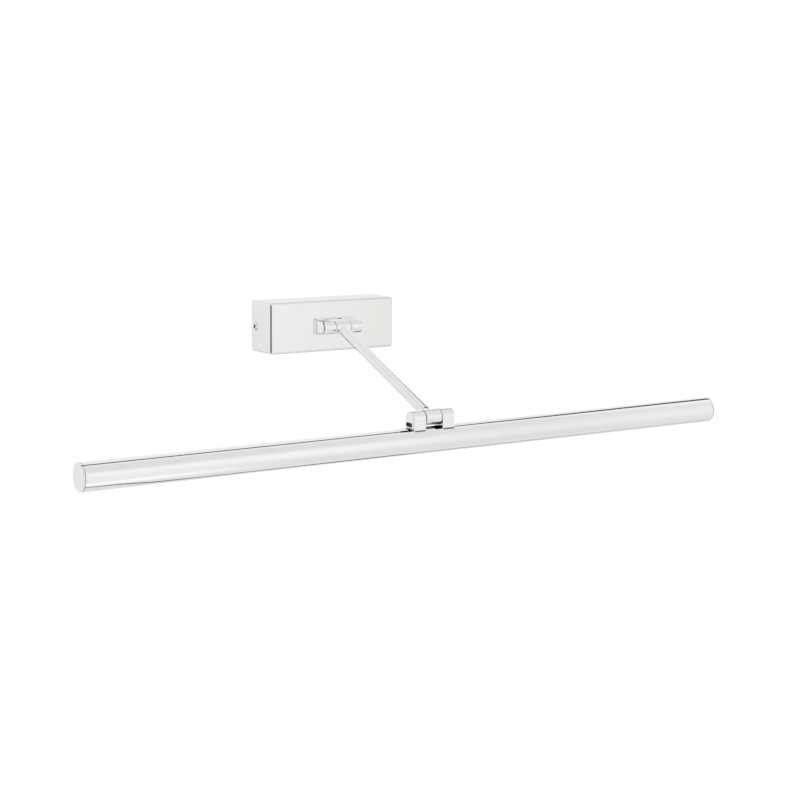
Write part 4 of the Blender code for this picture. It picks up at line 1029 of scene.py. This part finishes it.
def tube_section(ro, ri, n=150, lip=0.25 * MM):
    """Ring section left open over the light slot, its two lips rounded."""
    whole = math.pi - SLOT_HALF
    pts = []
    eo, ei = lip / ro, lip / ri
    for i in range(n + 1):
        a = -(whole - eo) + 2 * (whole - eo) * i / n
        pts.append((-ro * math.sin(-a), -ro * math.cos(a)))
    end = whole
    rm = ro - lip
    for k, (r, e) in enumerate(((ro - lip * 0.3, eo * 0.3), (rm, 0.0), (ri + lip, 0.0), (ri + lip * 0.3, ei * 0.3))):
        a = end - e
        pts.append((-r * math.sin(-a), -r * math.cos(a)))
    for i in range(n + 1):
        a = (whole - ei) - 2 * (whole - ei) * i / n
        pts.append((-ri * math.sin(-a), -ri * math.cos(a)))
    for k, (r, e) in enumerate(((ri + lip * 0.3, ei * 0.3), (ri + lip, 0.0), (rm, 0.0), (ro - lip * 0.3, eo * 0.3))):
        a = -(end - e)
        pts.append((-r * math.sin(-a), -r * math.cos(a)))
    return pts


def build_tube():
    ro, ri = TUBE_R, TUBE_R - 1.2 * MM
    rings = []
    c = 0.42 * MM
    stations = []
    for i in range(5):
        a = math.pi / 2 * i / 4
        stations.append((-TUBE_END + c * (1 - math.cos(a)), c * (1 - math.sin(a))))
    stations += [(x, 0.0) for x in (-TUBE_END * 0.5, 0.0, TUBE_END * 0.5)]
    for i in range(5):
        a = math.pi / 2 * i / 4
        stations.append((TUBE_END - c * (1 - math.sin(a)), c * (1 - math.cos(a))))
    for x, inset in stations:
        rings.append([lamp_point(v, w, x) for v, w in tube_section(ro - inset, ri)])
    obj = raw("lamp_shell", loft(rings))
    top = AXIS.z + ro
    tools = [rod(2.0 * MM, (x, AXIS.y, top - 4 * MM), (x, AXIS.y, top + 1 * MM)) for x in (-15 * MM, 15 * MM)]
    tools.append(rod(2.6 * MM, (21.7 * MM, AXIS.y, top - 4 * MM), (21.7 * MM, AXIS.y, top + 1 * MM)))
    carve(obj, tools)
    dress(obj, CHROME_X, "lamp_head", ("lamp_tube",), 28.0)


def build_caps():
    for side, s in (("left", -1), ("right", 1)):
        r, n = TUBE_R, 8
        front, back, depth = 0.55 * MM, 0.42 * MM, 1.5 * MM
        profile = [(0.0, 0.0)]
        for i in range(1, 5):
            profile.append(((r - front) * i / 4 - (0.05 * MM if i == 4 else 0), 0.0))
        for i in range(n + 1):
            a = math.pi / 2 * i / n
            profile.append((r - front + front * math.sin(a), front - front * math.cos(a)))
        for i in range(n + 1):
            a = math.pi / 2 * i / n
            profile.append((r - back + back * math.cos(a), depth - back + back * math.sin(a)))
        profile += [
            (12.2 * MM, depth), (12.2 * MM, depth + 7.7 * MM), (11.9 * MM, depth + 8 * MM),
            (11.0 * MM, depth + 8 * MM), (10.8 * MM, depth + 7.8 * MM), (10.8 * MM, depth), (0.0, depth),
        ]
        finish_piece(
            f"tube_cap_{side}",
            turned(profile, AXIS + Vector((s * TUBE_HALF, 0, 0)), (-s, 0, 0), 160),
            CHROME, "lamp_head", (f"end_cap_{side}",), 32.0,
        )


def build_diffuser():
    half = SLOT_HALF - math.radians(1.4)
    ro, ri, n = 13.5 * MM, 12.5 * MM, 48
    lo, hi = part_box("diffuser")
    pts = []
    for i in range(n + 1):
        a = half * (2 * i / n - 1)
        pts.append((ro * math.sin(a), ro * math.cos(a)))
    for i in range(n + 1):
        a = half * (1 - 2 * i / n)
        pts.append((ri * math.sin(a), ri * math.cos(a)))
    stations = [lo.x, lo.x * 0.5, 0.0, hi.x * 0.5, hi.x]
    finish_piece(
        "opal_strip", loft([[lamp_point(v, w, x) for v, w in pts] for x in stations]),
        OPAL, "lamp_head", ("diffuser",), 28.0,
    )


def build_lamp_ears():
    py, pz = LAMP_PIVOT.y, LAMP_PIVOT.z
    r = LAMP_EAR_R
    low = AXIS.z + 6 * MM
    c = 0.3 * MM
    arcs = [
        corner_arc(py, pz, r, 0, 180, 48),
        corner_arc(py - r + c, low + c, c, 180, 270, 2),
        corner_arc(py + r - c, low + c, c, 270, 360, 2),
    ]
    top = AXIS.z + TUBE_R
    for side, s in (("left", -1), ("right", 1)):
        x0, x1 = sorted((s * HINGE_HALF, s * EAR_IN))
        r0, r1 = (0.8 * MM, 0.35 * MM) if s < 0 else (0.35 * MM, 0.8 * MM)
        obj = raw("lamp_knuckle_" + side, rimmed_prism(arcs, x0, x1, r0, r1, 6))
        tools = [
            rod(TUBE_R + 0.3 * MM, AXIS - Vector((40 * MM, 0, 0)), AXIS + Vector((40 * MM, 0, 0)), 256),
            rod(3.08 * MM, (s * (EAR_IN - 2 * MM), py, pz), (s * 23.2 * MM, py, pz)),
            rod(1.7 * MM, (s * 15 * MM, py, top - 4 * MM), (s * 15 * MM, py, pz - 4.2 * MM), 32),
            # a shallow pocket in the ear's outer side, lined below with near-black painted shade
            block(
                (x0 - 2 * MM, py - 4.4 * MM, top + 0.9 * MM),
                (x0 + 1.2 * MM, py + 6.4 * MM, top + 5.2 * MM),
                0.9 * MM,
                5,
            ),
        ]
        if s > 0:
            tools.append(rod(1.6 * MM, (21.7 * MM, py, top - 4 * MM), (21.7 * MM, py, pz), 32))
        carve(obj, tools)
        dress(obj, CHROME, "lamp_head", ("lamp_ear_" + side,))

        def in_recess(co, x0=x0):
            return (
                0.05 * MM < co.x - x0 < 1.25 * MM
                and -4.45 * MM < co.y - py < 6.45 * MM
                and top + 0.85 * MM < co.z < top + 5.25 * MM
            )

        # painted shade: the pocket is lined with the near-black material
        second_material(obj, PAINTED_RECESS_SHADE, in_recess)
    finish_piece(
        "head_lead",
        smooth_path_tube(
            [(21.7 * MM, py, pz - 2.4 * MM), (21.7 * MM, py, pz - 13 * MM), (21.7 * MM, py, AXIS.z + 0.2 * MM)],
            0.9 * MM,
        ),
        SLEEVE, "lamp_head", ("lamp_lead",), 50.0,
    )


# ------------------------------------------------------------------ carried-over nodes


def plain_reflections():
    """The flat case front shows an even studio reflection, without the hinge, the bar or what they hide."""
    for obj in bpy.data.objects:
        body = obj.parent.name if obj.parent else ""
        if obj.type == "MESH" and body in ("body:wall_box", "body:arm") and obj.name != "lamp_barrel":
            obj.visible_glossy = False


def paint_nodes():
    paints = {
        "led_driver": WHITE, "terminal_block": NYLON, "led_board": MASK, "led_carrier": ALUMINIUM,
        "wall_pivot_pin": STEEL, "lamp_pivot_pin": STEEL, "tube_grommet": RUBBER,
        "terminal_screw_live": BRASS, "terminal_screw_earth": BRASS, "terminal_screw_neutral": BRASS,
        "earth_screw": BRASS, "driver_screw_left": ZINC, "driver_screw_right": ZINC,
        "wall_ear_screw_left": ZINC, "wall_ear_screw_right": ZINC,
        "lamp_ear_screw_left": ZINC, "lamp_ear_screw_right": ZINC,
    }
    for name, mat in paints.items():
        obj = frame["nodes"][name]
        obj.data.materials.clear()
        obj.data.materials.append(mat)


# ------------------------------------------------------------------ studio


def build_world():
    """A soft white studio seen as a function of direction: broad panels with narrow gaps between them."""
    world = bpy.data.worlds.new("studio")
    bpy.context.scene.world = world
    world.cycles.sampling_method = "NONE"
    t = Tree(world)
    direction = t.new("ShaderNodeTexCoord").outputs["Generated"]
    unit = t.vmath("NORMALIZE", direction)
    parts = t.new("ShaderNodeSeparateXYZ")
    t.put(parts.inputs[0], unit)
    x, y, z = parts.outputs
    turn = t.math("FRACT", t.math("ADD", t.math("DIVIDE", t.math("ARCTAN2", z, y), TAU), 1.0))
    degrees = t.math("MULTIPLY", turn, 360.0)

    def panels(stops):
        return t.ramp(turn, [(a / 360.0, linear(v) / 0.905) for a, v in stops])

    far_left = panels(
        [(0, 246), (10, 244), (33, 240), (47, 236), (62, 232), (85, 238), (93, 229), (102, 221),
         (137, 222), (146, 231), (158, 242), (172, 242), (186, 237), (200, 234), (212, 237), (220, 232),
         (227, 251), (244, 249), (255, 229), (268, 224), (285, 223), (305, 217), (322, 224), (340, 226), (352, 238), (360, 246)]
    )
    middle = panels(
        [(0, 246), (22, 243), (45, 233), (60, 238), (84, 232), (93, 232), (102, 221), (137, 224),
         (150, 236), (162, 243), (173, 244), (187, 240), (201, 233), (218, 226), (240, 223), (257, 221),
         (270, 228), (292, 222), (306, 224), (322, 244), (340, 240), (360, 246)]
    )
    right = panels(
        [(0, 244), (20, 240), (40, 228), (60, 232), (84, 238), (100, 221), (139, 226), (150, 229),
         (165, 232), (182, 233), (200, 229), (218, 223), (240, 221), (260, 222), (270, 224), (300, 215),
         (312, 216), (330, 236), (360, 244)]
    )
    far_right = panels(
        [(0, 244), (30, 232), (56, 236), (80, 245), (92, 236), (105, 228), (134, 230), (145, 234),
         (190, 237), (205, 232), (230, 226), (266, 222), (290, 218), (301, 216), (330, 230), (360, 244)]
    )
    behind = panels(
        [(0, 240), (30, 232), (60, 236), (90, 232), (130, 226), (160, 236), (190, 232), (220, 226),
         (250, 224), (280, 222), (310, 220), (335, 224), (348, 229), (360, 240)]
    )
    colour = t.mix(t.between(x, 0.40, 0.49, smooth=True), far_left, middle)
    colour = t.mix(t.between(x, 0.50, 0.60, smooth=True), colour, right)
    colour = t.mix(t.between(x, 0.60, 0.68, smooth=True), colour, far_right)
    colour = t.mix(t.between(x, 0.25, -0.15, smooth=True), colour, behind)

    def gap(angle, width, soft, depth):
        """1 outside a narrow gap round the X axis at angle, depth inside it."""
        off = t.math("ABSOLUTE", t.math("SUBTRACT", degrees, angle))
        outer = t.math("ADD", width, soft)
        return t.mixf(t.between(off, width, outer, 1.0, 0.0, smooth=True), 1.0, depth)

    # gap above: overhead panel's rear edge
    across = t.math("ABSOLUTE", x)
    curve = t.new("ShaderNodeFloatCurve")
    points = curve.mapping.curves[0].points
    for at, value in ((0.0, 0.78), (0.38, 0.755), (0.50, 0.722), (0.60, 0.665), (0.67, 0.55), (1.0, 0.30)):
        if at in (0.0, 1.0):
            points[0 if at == 0.0 else len(points) - 1].location = (at, value)
        else:
            points.new(at, value)
    for p in points:
        p.handle_type = "AUTO_CLAMPED"
    curve.mapping.update()
    t.put(curve.inputs["Value"], across)
    above_at = t.math("MULTIPLY", curve.outputs[0], 100.0)
    wide = t.math(
        "ADD",
        t.between(across, 0.56, 0.68, 3.4, 10.0),
        t.between(x, -0.20, -0.40, 0.0, 4.0),
    )
    above = gap(above_at, wide, 3.0, 0.08)
    # gap below: edge of the table in front of the sweep
    below_at = t.ramp(
        t.between(x, 0.36, 0.46), [(0.0, 0.715), (0.25, 0.735), (0.42, 0.789), (0.75, 0.808), (1.0, 0.808)]
    )
    below_at = t.math("MULTIPLY", below_at, 360.0)
    depth = t.ramp(
        t.between(x, 0.34, 0.70),
        [(0.0, 0.7), (0.10, 0.40), (0.17, 0.06), (0.24, 0.32), (0.38, 0.26), (0.44, 0.05), (0.53, 0.05),
         (0.57, 0.50), (0.75, 0.68), (1.0, 0.75)],
    )
    below = gap(below_at, 4.0, 4.0, depth)
    # upright gap to the left, which the upright edges catch
    heading = t.math("MULTIPLY", t.math("ARCTAN2", y, x), 360.0 / TAU)
    off = t.math("ABSOLUTE", t.math("SUBTRACT", t.math("ABSOLUTE", t.math("ADD", heading, 0.0)), 146.0))
    front_half = t.between(y, -0.02, -0.10)
    level = t.math("MULTIPLY", t.between(z, -0.55, -0.35, smooth=True), t.between(z, 0.55, 0.35, smooth=True))
    side = t.math("MULTIPLY", t.between(off, 14.0, 22.0, 1.0, 0.0, smooth=True), level)
    side = t.math("MULTIPLY", side, front_half)
    side = t.mixf(side, 1.0, 0.05)

    shade = t.math("MULTIPLY", t.math("MULTIPLY", above, below), side)
    combine = t.new("ShaderNodeCombineColor")
    for i in range(3):
        t.put(combine.inputs[i], shade)
    studio = t.mix(1.0, colour, combine.outputs[0], "MULTIPLY")

    path = t.new("ShaderNodeLightPath")
    room = t.new("ShaderNodeBackground")
    t.put(room.inputs["Color"], studio)
    white = t.new("ShaderNodeBackground")
    white.inputs["Color"].default_value = (1, 1, 1, 1)
    white.inputs["Strength"].default_value = 1.02
    soft = t.new("ShaderNodeBackground")
    soft.inputs["Color"].default_value = (1, 1, 1, 1)
    soft.inputs["Strength"].default_value = 1.10
    first = t.new("ShaderNodeMixShader")
    t.put(first.inputs[0], path.outputs["Is Glossy Ray"])
    t.links.new(soft.outputs[0], first.inputs[1])
    t.links.new(room.outputs[0], first.inputs[2])
    second = t.new("ShaderNodeMixShader")
    t.put(second.inputs[0], path.outputs["Is Camera Ray"])
    t.links.new(first.outputs[0], second.inputs[1])
    t.links.new(white.outputs[0], second.inputs[2])
    out = t.new("ShaderNodeOutputWorld")
    t.links.new(second.outputs[0], out.inputs["Surface"])


def build_stage():
    bpy.ops.mesh.primitive_plane_add(size=14.0, location=(0, 0, -0.46))
    floor = bpy.context.object
    floor.name = "studio_floor"
    mat = bpy.data.materials.new("pale_floor")
    t = Tree(mat)
    grain = t.noise(t.new("ShaderNodeTexCoord").outputs["Object"], 30.0, 3.0, 0.6)
    diffuse = t.new("ShaderNodeBsdfDiffuse")
    t.put(diffuse.inputs["Color"], t.mix(grain, (0.93, 0.93, 0.93, 1), (0.915, 0.915, 0.915, 1)))
    clear = t.new("ShaderNodeBsdfTransparent")
    both = t.new("ShaderNodeMixShader")
    t.put(both.inputs[0], t.new("ShaderNodeNewGeometry").outputs["Backfacing"])
    t.links.new(diffuse.outputs[0], both.inputs[1])
    t.links.new(clear.outputs[0], both.inputs[2])
    out = t.new("ShaderNodeOutputMaterial")
    t.links.new(both.outputs[0], out.inputs["Surface"])
    floor.data.materials.append(mat)
    floor.visible_glossy = False

    light = bpy.data.lights.new("soft_top", "AREA")
    light.shape, light.size, light.size_y = "RECTANGLE", 3.0, 3.0
    light.energy = 9.0
    lamp = bpy.data.objects.new("soft_top", light)
    lamp.location = (-0.6, -1.2, 2.4)
    lamp.rotation_euler = (Vector((0.6, 1.2, -2.4))).to_track_quat("-Z", "Y").to_euler()
    lamp.visible_glossy = False
    bpy.context.scene.collection.objects.link(lamp)


def build_camera():
    yaw, pitch, roll = (math.radians(a) for a in (32.65, 8.89, 0.55))
    fwd = Vector((math.sin(yaw) * math.cos(pitch), math.cos(yaw) * math.cos(pitch), -math.sin(pitch)))
    right = Vector((math.cos(yaw), -math.sin(yaw), 0.0))
    up = right.cross(fwd)
    r2 = right * math.cos(roll) + up * math.sin(roll)
    u2 = -right * math.sin(roll) + up * math.cos(roll)
    data = bpy.data.cameras.new("camera")
    data.sensor_width, data.lens = 36.0, 36.0 * 1648.0 / 787.0
    data.clip_start, data.clip_end = 0.05, 60.0
    cam = bpy.data.objects.new("camera", data)
    bpy.context.scene.collection.objects.link(cam)
    cam.matrix_world = Matrix(
        (
            (r2.x, u2.x, -fwd.x, -0.92456),
            (r2.y, u2.y, -fwd.y, -1.61335),
            (r2.z, u2.z, -fwd.z, 0.20885),
            (0, 0, 0, 1),
        )
    )
    bpy.context.scene.camera = cam


# ------------------------------------------------------------------ run

build_cover()
for side_name, sign in (("left", -1), ("right", 1)):
    pan_screw(
        "case_screw_" + side_name, Vector((sign * (BOX_HALF + 0.3 * MM), -11 * MM, 0)), (-sign, 0, 0),
        4.9 * MM, 1.6 * MM, 1.6 * MM, 9.0 * MM, 3.3 * MM, NICKEL, "wall_box",
        "cover_screw_" + side_name,
    )
build_base()
build_wall_ears()
build_plate()
build_box_small()
build_arm()
build_tube()
build_caps()
build_diffuser()
build_lamp_ears()
paint_nodes()
plain_reflections()
build_world()
build_stage()
build_camera()
bpy.context.scene.view_settings.view_transform = "Standard"
